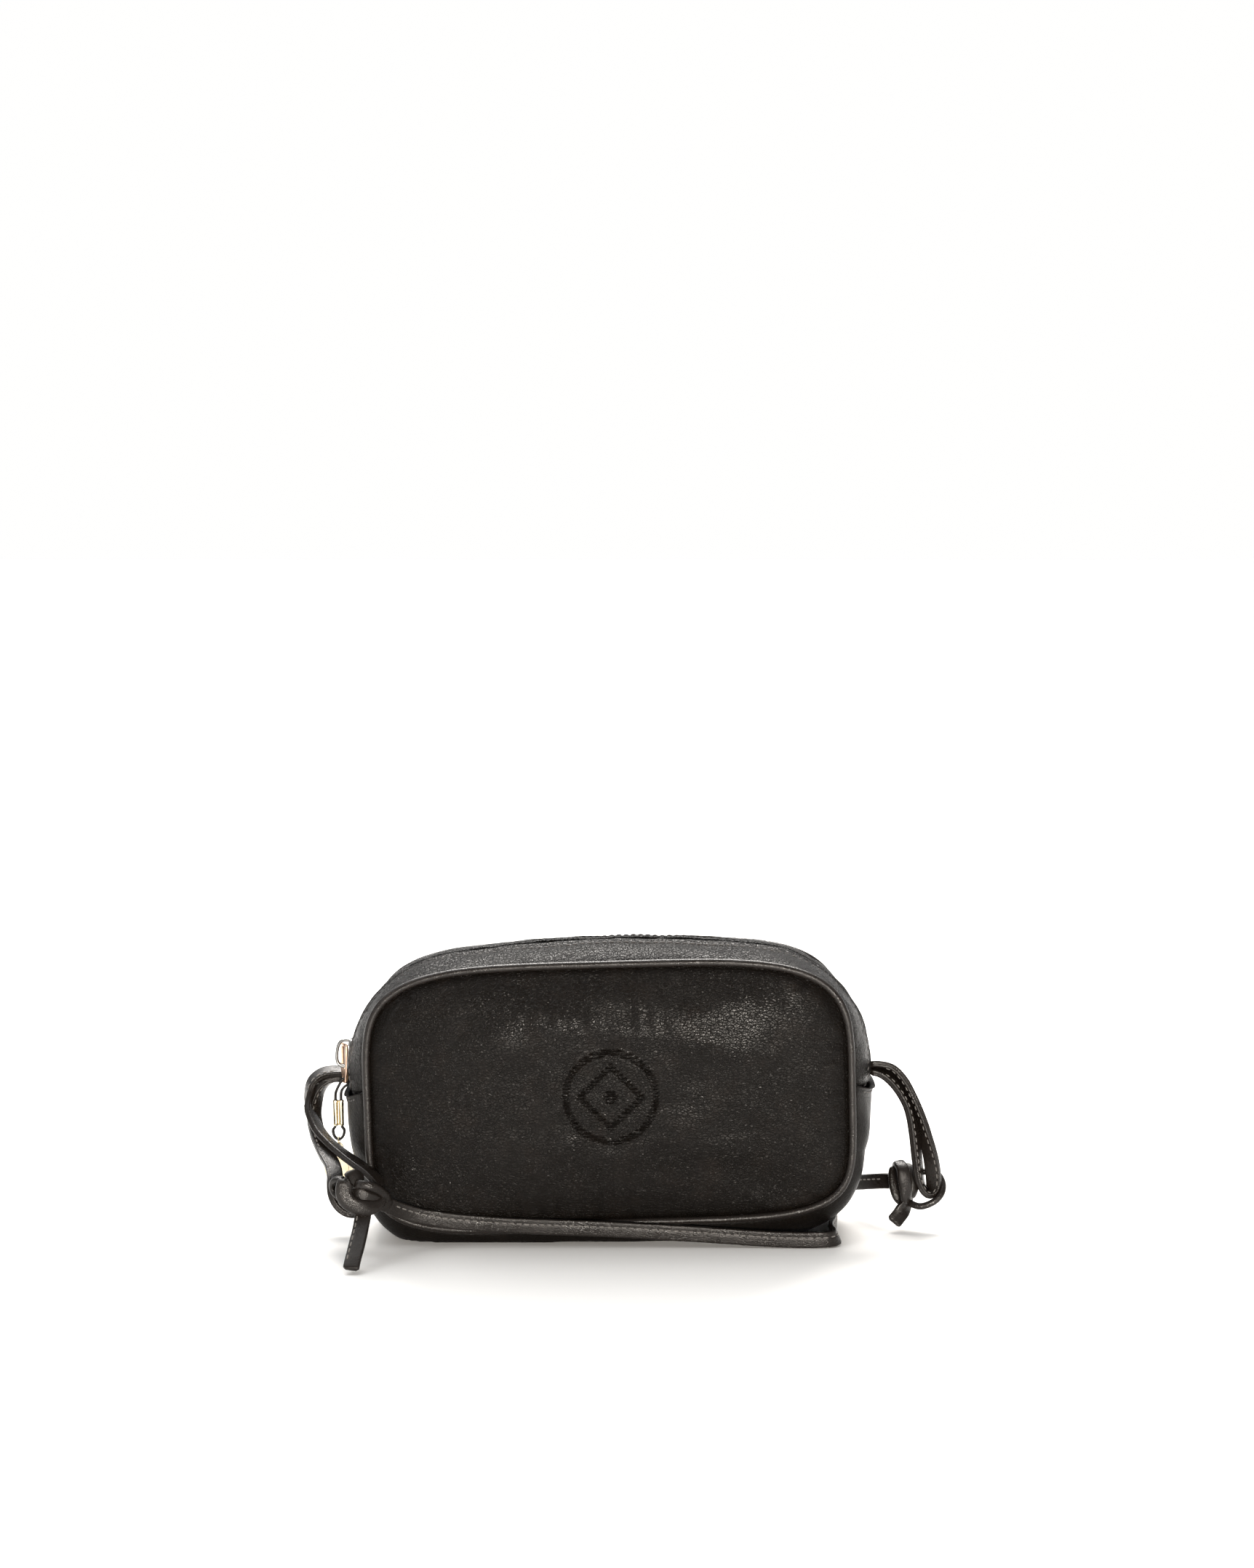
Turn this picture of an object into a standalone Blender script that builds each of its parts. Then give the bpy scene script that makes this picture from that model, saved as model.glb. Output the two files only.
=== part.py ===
"""A leather makeup bag: two padded panels piped to a zipped gusset, a lining, a zip with its
slider, puller and charm, and a leather strap knotted to a loop at each end of the bag.

Metres, +Z up. X runs along the bag, its front faces -Y, and the origin is at the middle of the
flat bottom, which stands on z = 0. Every piece is modelled where it lies at rest."""

import bisect
import math

import bmesh
import bpy
import numpy as np
from mathutils import Matrix, Vector

# The seams that join the panels to the gusset, seen from the front.
HALF_WIDTH = 0.1005
HALF_HEIGHT = 0.0545
CENTRE_HEIGHT = 0.0640
UPPER_POWER = 4.3
LOWER_POWER = 5.6
DEPTH = 0.054
PIPING_RADIUS = 0.0013

# How the soft bag settles: it leans, and its lower left corner sags.
LEAN = math.radians(1.65)
CORNER_SAG = 0.0022
SAG_REACH = 0.070

# The middle line of the gusset, above and below the tabs at the zip's ends.
CORNER_X = 0.060
CORNER_Z = 0.071
CORNER_RADIUS = 0.050
CORNER_END = math.radians(82)
BASE_HALF_WIDTH = 0.1075
BASE_HALF_HEIGHT = 0.0700
BASE_POWER = 4.3
TAB_BULGE = 0.0055
TAB_BULGE_REACH = 0.030
LEFT_TAB_HEIGHT = 0.0685
RIGHT_TAB_HEIGHT = 0.0655
TAB_DIP = 0.0050
ZIP_GUSSET_ROUNDNESS = 2.4
BASE_GUSSET_ROUNDNESS = 5.0

# Layers, from the outer face of the leather inwards.
LEATHER = 0.0013
LAYER_GAP = 0.0004
PADDING = 0.0020
LINING = 0.0005
BOARD = 0.0010
PANEL_MARGIN = 0.0019
DOME = 0.0065
DOME_POWER = 3.2

# The zip.
ZIP_OPENING = 0.0100
TAPE_INSET = 0.0016
TAPE = 0.0005
TAPE_INNER_EDGE = 0.0029
TAPE_OUTER_EDGE = 0.0140
TEETH_INNER_EDGE = 0.00045
TEETH_OUTER_EDGE = 0.0026
TEETH_HEIGHT = 0.0023

# The slider rides on the left corner circle, this far above the level of its centre.
SLIDER_ANGLE = math.radians(8.6)
SLIDER_LENGTH = 0.0130
SLIDER_WIDTH = 0.0084
SLIDER_PLATE = 0.0012
SLIDER_WEB = 0.0004
SLIDER_OUTER_GAP = 0.0015
SLIDER_INNER_GAP = 0.0021
BRIDGE_RADIUS = 0.0008
BRIDGE_HEIGHT = 0.0056
BRIDGE_HALF_LENGTH = 0.0054
PULLER_HEIGHT = 0.0022
PULLER_SHIFT = 0.0034

# The puller and what hangs from it.
PULLER_LENGTH = 0.0170
PULLER_WIDTH = 0.0060
PULLER_THICKNESS = 0.0012
SLOT_WIDTH = 0.0027
CORD_RADIUS = 0.00055
CHAIN_X = -0.1153
FERRULE_TOP = 0.0552
FERRULE_LENGTH = 0.0108
FERRULE_RADIUS = 0.0012
FERRULE_BORE = 0.00085
CORD_LOOP_BOTTOM = 0.0382
RING_RADIUS = 0.0022
RING_WIRE = 0.0004
CHARM_RADIUS = 0.0065
CHARM_THICKNESS = 0.0014
CHARM_LUG_RADIUS = 0.0019
CHARM_HOLE_RADIUS = 0.0011
CHARM_LUG_RISE = 0.0090

# The strap and the side loops are the same folded leather strip.
STRIP_WIDTH = 0.0066
STRIP_THICKNESS = 0.0022
STRIP_SPACING = 0.0100
LOOP_SPACING = 0.0050

UP = Vector((0, 0, 1))
ACROSS_DEPTH = Vector((0, 1, 0))
ALONG_BAG = Vector((1, 0, 0))
RIGHT_TAIL_WIDTH = Vector((0.75, 0, -0.65))

LEFT_LOOP = [
    # place, then the direction of the strip's width
    (-0.1106, 0.0070, 0.0657, 0.0, 1.0, 0.0),
    (-0.1180, 0.0070, 0.0661, 0.0, 1.0, 0.0),
    (-0.1230, 0.0065, 0.0652, 0.0, 1.0, 0.0),
    (-0.1268, 0.0050, 0.0622, 0.0, 1.0, 0.0),
    (-0.1282, 0.0030, 0.0575, 0.0, 1.0, 0.0),
    (-0.1280, 0.0000, 0.0530, 0.1, 1.0, 0.0),
    (-0.1260, -0.0040, 0.0490, 0.3, 0.9, -0.2),
    (-0.1223, -0.0100, 0.0443, 0.5, 0.8, -0.3),
    (-0.1169, -0.0170, 0.0407, 0.6, 0.7, -0.3),
    (-0.1109, -0.0240, 0.0381, 0.6, 0.7, -0.3),
    (-0.1047, -0.0310, 0.0358, 0.6, 0.6, -0.2),
    (-0.0989, -0.0365, 0.0332, 0.5, 0.7, -0.1),
    (-0.0952, -0.0395, 0.0300, 0.3, 0.9, 0.0),
    (-0.0942, -0.0398, 0.0262, 0.0, 1.0, 0.0),
    (-0.0955, -0.0396, 0.0218, 0.0, 1.0, 0.0),
    (-0.0995, -0.0394, 0.0184, 0.0, 1.0, 0.0),
    (-0.1061, -0.0392, 0.0170, 0.0, 1.0, 0.0),
    (-0.1112, -0.0388, 0.0195, 0.0, 1.0, 0.0),
    (-0.1135, -0.0380, 0.0245, 0.3, 0.9, 0.0),
    (-0.1132, -0.0350, 0.0300, 0.8, 0.5, 0.1),
    (-0.1147, -0.0285, 0.0338, 0.9, 0.3, 0.1),
    (-0.1182, -0.0205, 0.0368, 0.9, 0.3, 0.1),
    (-0.1217, -0.0120, 0.0402, 0.9, 0.4, 0.0),
    (-0.1242, -0.0050, 0.0440, 0.5, 0.9, 0.0),
    (-0.1256, 0.0000, 0.0487, 0.1, 1.0, 0.0),
    (-0.1253, 0.0030, 0.0532, 0.0, 1.0, 0.0),
    (-0.1240, 0.0050, 0.0580, 0.0, 1.0, 0.0),
    (-0.1213, 0.0065, 0.0612, 0.0, 1.0, 0.0),
    (-0.1175, 0.0070, 0.0628, 0.0, 1.0, 0.0),
    (-0.1106, 0.0070, 0.0628, 0.0, 1.0, 0.0),
]
RIGHT_LOOP = [
    (0.1102, 0.0000, 0.0706),
    (0.1136, 0.0000, 0.0708),
    (0.1199, 0.0000, 0.0690),
    (0.1246, 0.0000, 0.0637),
    (0.1283, 0.0000, 0.0569),
    (0.1317, 0.0000, 0.0485),
    (0.1342, 0.0000, 0.0401),
    (0.1364, 0.0000, 0.0316),
    (0.1377, 0.0000, 0.0242),
    (0.1380, 0.0000, 0.0175),
    (0.1362, 0.0000, 0.0148),
    (0.1341, 0.0000, 0.0158),
    (0.1324, 0.0000, 0.0195),
    (0.1316, 0.0000, 0.0234),
    (0.1306, 0.0000, 0.0319),
    (0.1296, 0.0000, 0.0403),
    (0.1280, 0.0000, 0.0487),
    (0.1258, 0.0000, 0.0550),
    (0.1220, 0.0000, 0.0612),
    (0.1178, 0.0000, 0.0656),
    (0.1136, 0.0000, 0.0677),
    (0.1102, 0.0000, 0.0678),
]
STRAP = [
    # out of the left knot and along the front
    (-0.0916, -0.0418, 0.0213),
    (-0.0870, -0.0378, 0.0181),
    (-0.0800, -0.0345, 0.0149),
    (-0.0700, -0.0322, 0.0124),
    (-0.0600, -0.0314, 0.0110),
    (-0.0400, -0.0312, 0.0095),
    (-0.0050, -0.0312, 0.0082),
    (0.0180, -0.0312, 0.0070),
    (0.0470, -0.0312, 0.0051),
    (0.0620, -0.0314, 0.0041),
    (0.0750, -0.0317, 0.0036),
    (0.0860, -0.0318, 0.0036),
    # the turn at the right, and back under the bag's corner
    (0.0920, -0.0308, 0.0036),
    (0.0946, -0.0280, 0.0036),
    (0.0944, -0.0245, 0.0036),
    (0.0930, -0.0200, 0.0036),
    (0.0934, -0.0140, 0.0036),
    (0.0952, -0.0060, 0.0036),
    (0.0962, 0.0060, 0.0036),
    (0.0952, 0.0200, 0.0036),
    (0.0905, 0.0320, 0.0036),
    (0.0820, 0.0375, 0.0036),
    # the spare length, in runs behind the bag
    (0.0400, 0.0380, 0.0036),
    (-0.0200, 0.0380, 0.0036),
    (-0.0800, 0.0380, 0.0036),
    (-0.0880, 0.0390, 0.0036),
    (-0.0915, 0.0420, 0.0036),
    (-0.0880, 0.0450, 0.0036),
    (-0.0800, 0.0460, 0.0036),
    (-0.0200, 0.0460, 0.0036),
    (0.0400, 0.0460, 0.0036),
    (0.0760, 0.0460, 0.0036),
    (0.0840, 0.0470, 0.0036),
    (0.0875, 0.0500, 0.0036),
    (0.0840, 0.0530, 0.0036),
    (0.0760, 0.0540, 0.0036),
    (0.0200, 0.0540, 0.0036),
    (-0.0400, 0.0540, 0.0036),
    (-0.0800, 0.0540, 0.0036),
    (-0.0880, 0.0550, 0.0036),
    (-0.0915, 0.0580, 0.0036),
    (-0.0880, 0.0610, 0.0036),
    (-0.0800, 0.0620, 0.0036),
    (-0.0200, 0.0620, 0.0036),
    (0.0400, 0.0620, 0.0036),
    (0.0760, 0.0610, 0.0036),
    # round the back corner and up to the right knot
    (0.0920, 0.0530, 0.0045),
    (0.1010, 0.0400, 0.0080),
    (0.1060, 0.0285, 0.0117),
    (0.1105, 0.0195, 0.0145),
    (0.1155, 0.0120, 0.0168),
    (0.1212, 0.0056, 0.0187),
]
LEFT_KNOT = Vector((-0.1018, -0.0485, 0.0279))
LEFT_KNOT_RADII = Vector((0.0095, 0.0045, 0.0089))
LEFT_TAIL = [
    (-0.1003, -0.0495, 0.0184),
    (-0.1008, -0.0535, 0.0152),
    (-0.1016, -0.0590, 0.0108),
    (-0.1027, -0.0650, 0.0058),
    (-0.1034, -0.0690, 0.0021),
]
RIGHT_KNOT = Vector((0.1260, 0.0020, 0.0187))
RIGHT_KNOT_RADII = Vector((0.0047, 0.0050, 0.0084))
RIGHT_TAIL = [
    (0.1258, -0.0015, 0.0098),
    (0.1234, -0.0040, 0.0070),
    (0.1214, -0.0058, 0.0046),
    (0.1200, -0.0068, 0.0034),
]


# Scene and materials


def clear_scene():
    for thing in list(bpy.data.objects):
        bpy.data.objects.remove(thing)


def make_collection():
    collection = bpy.data.collections.new("makeup_bag")
    bpy.context.scene.collection.children.link(collection)
    return collection


def make_material(name, colour, roughness, metallic):
    made = bpy.data.materials.new(name)
    made.use_nodes = True
    shader = made.node_tree.nodes["Principled BSDF"]
    shader.inputs["Base Color"].default_value = (*colour, 1)
    shader.inputs["Roughness"].default_value = roughness
    shader.inputs["Metallic"].default_value = metallic
    return made


def make_materials():
    return {
        "leather": make_material("black_leather", (0.022, 0.019, 0.017), 0.42, 0),
        "piping": make_material("piping_leather", (0.026, 0.020, 0.017), 0.30, 0),
        "strap": make_material("strap_leather", (0.024, 0.019, 0.016), 0.38, 0),
        "lining": make_material("lining_fabric", (0.045, 0.036, 0.030), 0.85, 0),
        "padding": make_material("foam_padding", (0.55, 0.53, 0.48), 0.95, 0),
        "board": make_material("base_board", (0.30, 0.24, 0.17), 0.90, 0),
        "tape": make_material("zip_tape", (0.018, 0.016, 0.015), 0.80, 0),
        "brass": make_material("zip_brass", (0.62, 0.50, 0.30), 0.30, 1),
        "steel": make_material("slider_steel", (0.28, 0.28, 0.27), 0.35, 1),
        "rose": make_material("puller_metal", (0.72, 0.52, 0.40), 0.28, 1),
        "gold": make_material("pale_gold", (0.78, 0.68, 0.48), 0.22, 1),
    }


def add_object(name, data, material):
    made = bpy.data.objects.new(name, data)
    data.materials.append(material)
    COLLECTION.objects.link(made)
    return made


# Lines and surfaces


def superellipse(angle, half_width, half_height, power):
    """The point of a rounded rectangle about the outline's centre, in the direction of the angle."""
    across = abs(math.cos(angle)) / half_width
    above = abs(math.sin(angle)) / half_height
    reach = (across**power + above**power) ** (-1 / power)
    return Vector((reach * math.cos(angle), 0, CENTRE_HEIGHT + reach * math.sin(angle)))


def spread(first, last, count):
    return [first + (last - first) * index / (count - 1) for index in range(count)]


def even_line(points):
    """A function from 0..1 to the place that far along the points."""
    lengths = [0.0]
    for here, after in zip(points, points[1:]):
        lengths.append(lengths[-1] + (after - here).length)

    def place(fraction):
        wanted = min(max(fraction, 0), 1) * lengths[-1]
        index = min(max(bisect.bisect_right(lengths, wanted) - 1, 0), len(points) - 2)
        share = (wanted - lengths[index]) / (lengths[index + 1] - lengths[index])
        return points[index].lerp(points[index + 1], share)

    return place


def tab_angle(tab_height):
    return math.atan2(tab_height - CENTRE_HEIGHT, HALF_WIDTH)


def upper_seam():
    angles = spread(math.pi - tab_angle(LEFT_TAB_HEIGHT), tab_angle(RIGHT_TAB_HEIGHT), 400)
    return even_line([superellipse(angle, HALF_WIDTH, HALF_HEIGHT, UPPER_POWER) for angle in angles])


def lower_seam():
    angles = spread(tab_angle(RIGHT_TAB_HEIGHT), -math.pi - tab_angle(LEFT_TAB_HEIGHT), 400)
    return even_line([superellipse(angle, HALF_WIDTH, HALF_HEIGHT, LOWER_POWER) for angle in angles])


def corner_point(side, angle):
    """On a corner circle of the zip's line, the angle rising from the level of its centre."""
    reach = CORNER_X + CORNER_RADIUS * math.cos(angle)
    return Vector((side * reach, 0, CORNER_Z + CORNER_RADIUS * math.sin(angle)))


def corner_start(tab_height):
    return math.asin((tab_height - TAB_DIP - CORNER_Z) / CORNER_RADIUS)


def upper_middle():
    """Two corner circles joined over the top by one shallow arc that is tangent to both."""
    arc_half = math.pi / 2 - CORNER_END
    chord_end = corner_point(1, CORNER_END)
    arc_radius = chord_end.x / math.sin(arc_half)
    arc_centre = chord_end.z - arc_radius * math.cos(arc_half)
    left = [corner_point(-1, angle) for angle in spread(corner_start(LEFT_TAB_HEIGHT), CORNER_END, 120)]
    top = [
        Vector((arc_radius * math.sin(angle), 0, arc_centre + arc_radius * math.cos(angle)))
        for angle in spread(-arc_half, arc_half, 120)
    ]
    right = [corner_point(1, angle) for angle in spread(CORNER_END, corner_start(RIGHT_TAB_HEIGHT), 120)]
    return even_line(left + top[1:-1] + right)


def base_point(angle):
    """The base line swells outwards towards the tabs."""
    point = superellipse(angle, BASE_HALF_WIDTH, BASE_HALF_HEIGHT, BASE_POWER)
    share = (point.z - CENTRE_HEIGHT) / TAB_BULGE_REACH
    point.x += math.copysign(TAB_BULGE * max(0, 1 - share * share), point.x)
    return point


def lower_middle():
    reach = BASE_HALF_WIDTH + TAB_BULGE
    right = math.atan2(RIGHT_TAB_HEIGHT - TAB_DIP - CENTRE_HEIGHT, reach)
    left = -math.pi - math.atan2(LEFT_TAB_HEIGHT - TAB_DIP - CENTRE_HEIGHT, reach)
    return even_line([base_point(angle) for angle in spread(right, left, 600)])


def settle(point):
    """Leans the bag about its middle, lets its lower left corner sag, and stops it at the ground."""
    above = point.z - CENTRE_HEIGHT
    x = point.x * math.cos(LEAN) - above * math.sin(LEAN)
    z = CENTRE_HEIGHT + point.x * math.sin(LEAN) + above * math.cos(LEAN)
    if above < 0 and point.x < 0:
        share = min(-point.x / SAG_REACH, 1)
        z += CORNER_SAG * share * share * (3 - 2 * share) * above / HALF_HEIGHT
    return Vector((x, point.y, max(z, 0)))


def gusset_surface(seam, middle, roundness):
    """A function of the share of the way round and of y. The middle stands out from the seams."""

    def place(share, y):
        bulge = 1 - abs(2 * y / DEPTH) ** roundness
        point = seam(share).lerp(middle(share), bulge)
        point.y = y
        return settle(point)

    return place


def inset(surface, depth):
    """The surface moved inwards along its normals."""

    def place(share, y):
        step = 0.004
        along = surface(min(share + step, 1), y) - surface(max(share - step, 0), y)
        across = surface(share, y + 0.0008) - surface(share, y - 0.0008)
        return surface(share, y) - depth * along.cross(across).normalized()

    return place


def panel_surface(side, depth, margin):
    """A function of -1..1 along and up. Side is -1 for the front. A square fills the outline."""
    half_width = HALF_WIDTH - margin
    half_height = HALF_HEIGHT - margin

    def place(along, up):
        power = UPPER_POWER if up > 0 else LOWER_POWER
        ring = max(abs(along), abs(up))
        round_off = ring / max((abs(along) ** power + abs(up) ** power) ** (1 / power), 1e-9)
        return settle(
            Vector(
                (
                    -side * along * half_width * round_off,
                    side * (DEPTH / 2 - depth + DOME * (1 - ring**DOME_POWER)),
                    CENTRE_HEIGHT + up * half_height * round_off,
                )
            )
        )

    return place


# Solids


def add_sheet(name, columns, rows, surface, across, up, thickness, material, offset=-1):
    """A grid laid on a surface, from its first to its last value each way, then given thickness."""
    bm = bmesh.new()
    bmesh.ops.create_grid(bm, x_segments=columns, y_segments=rows, size=0.5)
    for vertex in bm.verts:
        along_share = vertex.co.x + 0.5
        up_share = vertex.co.y + 0.5
        vertex.co = surface(
            across[0] + (across[1] - across[0]) * along_share,
            up[0] + (up[1] - up[0]) * up_share,
        )
    mesh = bpy.data.meshes.new(name)
    bm.to_mesh(mesh)
    bm.free()
    mesh.shade_smooth()
    mesh.set_sharp_from_angle(angle=math.radians(40))
    made = add_object(name, mesh, material)
    solidify = made.modifiers.new("thickness", "SOLIDIFY")
    solidify.thickness = thickness
    solidify.offset = offset
    return made


def add_tube(name, points, radius, material, closed=False, sides=6):
    curve = bpy.data.curves.new(name, "CURVE")
    curve.dimensions = "3D"
    curve.bevel_depth = radius
    curve.bevel_resolution = (sides - 4) // 2
    curve.use_fill_caps = True
    spline = curve.splines.new("POLY")
    spline.points.add(len(points) - 1)
    for place, point in zip(spline.points, points):
        place.co = (*point, 1)
    spline.use_cyclic_u = closed
    return add_object(name, curve, material)


def add_plate(name, outlines, thickness, frame, material):
    """A flat outline with holes in it, extruded both ways from its plane and placed by a matrix."""
    curve = bpy.data.curves.new(name, "CURVE")
    curve.dimensions = "2D"
    curve.fill_mode = "BOTH"
    curve.extrude = thickness / 2
    for outline in outlines:
        spline = curve.splines.new("POLY")
        spline.points.add(len(outline) - 1)
        for place, (x, y) in zip(spline.points, outline):
            place.co = (x, y, 0, 1)
        spline.use_cyclic_u = True
    made = add_object(name, curve, material)
    made.matrix_world = frame
    return made


def circle(x, y, radius, count=12, start=0.0, end=2 * math.pi):
    """Points on a circle, or on the arc of it from start to end."""
    whole = end - start >= 2 * math.pi
    steps = count if whole else count - 1
    angles = [start + (end - start) * i / steps for i in range(count)]
    return [(x + radius * math.cos(angle), y + radius * math.sin(angle)) for angle in angles]


def smooth_rows(rows, spacing):
    """Rows on a Catmull-Rom curve through the given rows, evenly spaced along their first three values."""
    rows = np.array(rows, float)
    padded = np.vstack([2 * rows[0] - rows[1], rows, 2 * rows[-1] - rows[-2]])
    dense = []
    for before, here, after, later in zip(padded, padded[1:], padded[2:], padded[3:]):
        for step in np.linspace(0, 1, 16, endpoint=False):
            bend = 2 * before - 5 * here + 4 * after - later
            swing = 3 * (here - after) + later - before
            dense.append(0.5 * (2 * here + (after - before) * step + bend * step**2 + swing * step**3))
    dense = np.array([*dense, rows[-1]])
    lengths = np.insert(np.cumsum(np.linalg.norm(np.diff(dense[:, :3], axis=0), axis=1)), 0, 0)
    wanted = np.linspace(0, lengths[-1], max(int(round(lengths[-1] / spacing)), 2) + 1)
    return np.column_stack([np.interp(wanted, lengths, column) for column in dense.T])


def add_strip(name, route, width_direction, spacing, material):
    """A leather strip along a route. A route row may end with its own width direction."""
    rows = [tuple(row) if len(row) == 6 else (*row, *width_direction) for row in route]
    rows = smooth_rows(rows, spacing)
    places = [Vector(row[:3]) for row in rows]
    last = len(places) - 1
    tangents = [(places[min(i + 1, last)] - places[max(i - 1, 0)]).normalized() for i in range(last + 1)]
    widths = []
    for row, tangent in zip(rows, tangents):
        width = Vector(row[3:])
        widths.append((width - width.dot(tangent) * tangent).normalized())

    def surface(share, side):
        index = min(int(round(share * last)), last)
        return places[index] + side * STRIP_WIDTH * widths[index]

    return add_sheet(name, last, 1, surface, (0, 1), (-0.5, 0.5), STRIP_THICKNESS, material, offset=0)


def add_knot(name, centre, radii, material):
    bm = bmesh.new()
    bmesh.ops.create_uvsphere(bm, u_segments=12, v_segments=8, radius=1)
    bmesh.ops.scale(bm, vec=radii, verts=bm.verts)
    mesh = bpy.data.meshes.new(name)
    bm.to_mesh(mesh)
    bm.free()
    mesh.shade_smooth()
    made = add_object(name, mesh, material)
    made.location = centre
    return made


# The bag's own pieces


def add_panels(materials):
    lining_depth = LEATHER + PADDING + 3 * LAYER_GAP
    for side, word in ((-1, "front"), (1, "back")):
        outer = panel_surface(side, 0, PANEL_MARGIN)
        add_sheet(f"{word}_panel", 20, 12, outer, (-1, 1), (-1, 1), LEATHER, materials["leather"])
        foam = panel_surface(side, LEATHER + LAYER_GAP, PANEL_MARGIN + 0.0025)
        add_sheet(f"{word}_padding", 12, 7, foam, (-1, 1), (-1, 1), PADDING, materials["padding"])
        inner = panel_surface(side, lining_depth, PANEL_MARGIN + 0.0045)
        add_sheet(f"{word}_lining", 12, 7, inner, (-1, 1), (-1, 1), LINING, materials["lining"])
    pocket = panel_surface(1, lining_depth + LINING + 3 * LAYER_GAP, PANEL_MARGIN + 0.0045)
    add_sheet("inner_pocket", 8, 5, pocket, (-0.62, 0.62), (-0.80, 0.50), LINING, materials["lining"])


def add_piping(materials):
    upper = upper_seam()
    lower = lower_seam()
    line = [upper(i / 24) for i in range(25)] + [lower(i / 24) for i in range(1, 24)]
    for side, word in ((-1, "front"), (1, "back")):
        points = [settle(Vector((point.x, side * DEPTH / 2, point.z))) for point in line]
        add_tube(f"{word}_piping", points, PIPING_RADIUS, materials["piping"], closed=True)


def add_gussets(materials):
    """The zip gusset is two strips beside the zip. The base gusset runs round below the tabs."""
    edge = DEPTH / 2 - PANEL_MARGIN
    whole = (0.0006, 0.9994)
    upper = gusset_surface(upper_seam(), upper_middle(), ZIP_GUSSET_ROUNDNESS)
    lower = gusset_surface(lower_seam(), lower_middle(), BASE_GUSSET_ROUNDNESS)
    for word, ends in (("front", (-edge, -ZIP_OPENING / 2)), ("back", (ZIP_OPENING / 2, edge))):
        add_sheet(f"zip_gusset_{word}", 42, 3, upper, whole, ends, LEATHER, materials["leather"])
    add_sheet("base_gusset", 38, 10, lower, whole, (-edge, edge), LEATHER, materials["leather"])
    lining = inset(upper, TAPE_INSET + TAPE + 2 * LAYER_GAP)
    for word, ends in (("front", (-0.0212, -0.007)), ("back", (0.007, 0.0212))):
        add_sheet(f"gusset_lining_{word}", 30, 2, lining, (0.012, 0.988), ends, LINING, materials["lining"])
    board = inset(lower, LEATHER + 2 * LAYER_GAP)
    add_sheet("base_board", 12, 2, board, (0.27, 0.73), (-0.017, 0.017), BOARD, materials["board"])
    base_lining = inset(lower, LEATHER + BOARD + 4 * LAYER_GAP)
    ends = (-0.0180, 0.0180)
    add_sheet("base_lining", 30, 4, base_lining, (0.018, 0.982), ends, LINING, materials["lining"])
    return upper


def add_zip(upper, materials):
    tape = inset(upper, TAPE_INSET)
    teeth = inset(upper, TAPE_INSET + TAPE / 2 - TEETH_HEIGHT / 2)
    brass = materials["brass"]
    for side, word in ((-1, "front"), (1, "back")):
        tape_edges = sorted((side * TAPE_INNER_EDGE, side * TAPE_OUTER_EDGE))
        teeth_edges = sorted((side * TEETH_INNER_EDGE, side * TEETH_OUTER_EDGE))
        add_sheet(f"zip_tape_{word}", 42, 1, tape, (0.006, 0.994), tape_edges, TAPE, materials["tape"])
        add_sheet(f"zip_teeth_{word}", 42, 1, teeth, (0.016, 0.984), teeth_edges, TEETH_HEIGHT, brass)
    for word, ends in (("left", (0.008, 0.0145)), ("right", (0.9855, 0.992))):
        stop = (-TEETH_OUTER_EDGE, TEETH_OUTER_EDGE)
        add_sheet(f"zip_stop_{word}", 1, 1, teeth, ends, stop, TEETH_HEIGHT, brass)


# The moving pieces


def add_pivot(name, place):
    pivot = bpy.data.objects.new(name, None)
    pivot.location = place
    COLLECTION.objects.link(pivot)
    return pivot


def hang_on(pivot, *pieces):
    """Parents the pieces to a pivot without moving them."""
    bpy.context.view_layer.update()
    for piece in pieces:
        piece.parent = pivot
        piece.matrix_parent_inverse = pivot.matrix_world.inverted()


def slider_frame():
    """The zip's turning centre, and the slider's own directions: outwards from the chain, and along it."""
    centre = settle(Vector((-CORNER_X, 0, CORNER_Z)))
    angle = SLIDER_ANGLE - LEAN
    outwards = Vector((-math.cos(angle), 0, math.sin(angle)))
    return centre, outwards, ACROSS_DEPTH.cross(outwards)


def frame_matrix(place, x_axis, y_axis):
    matrix = Matrix((x_axis, y_axis, x_axis.cross(y_axis))).transposed().to_4x4()
    matrix.translation = place
    return matrix


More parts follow.
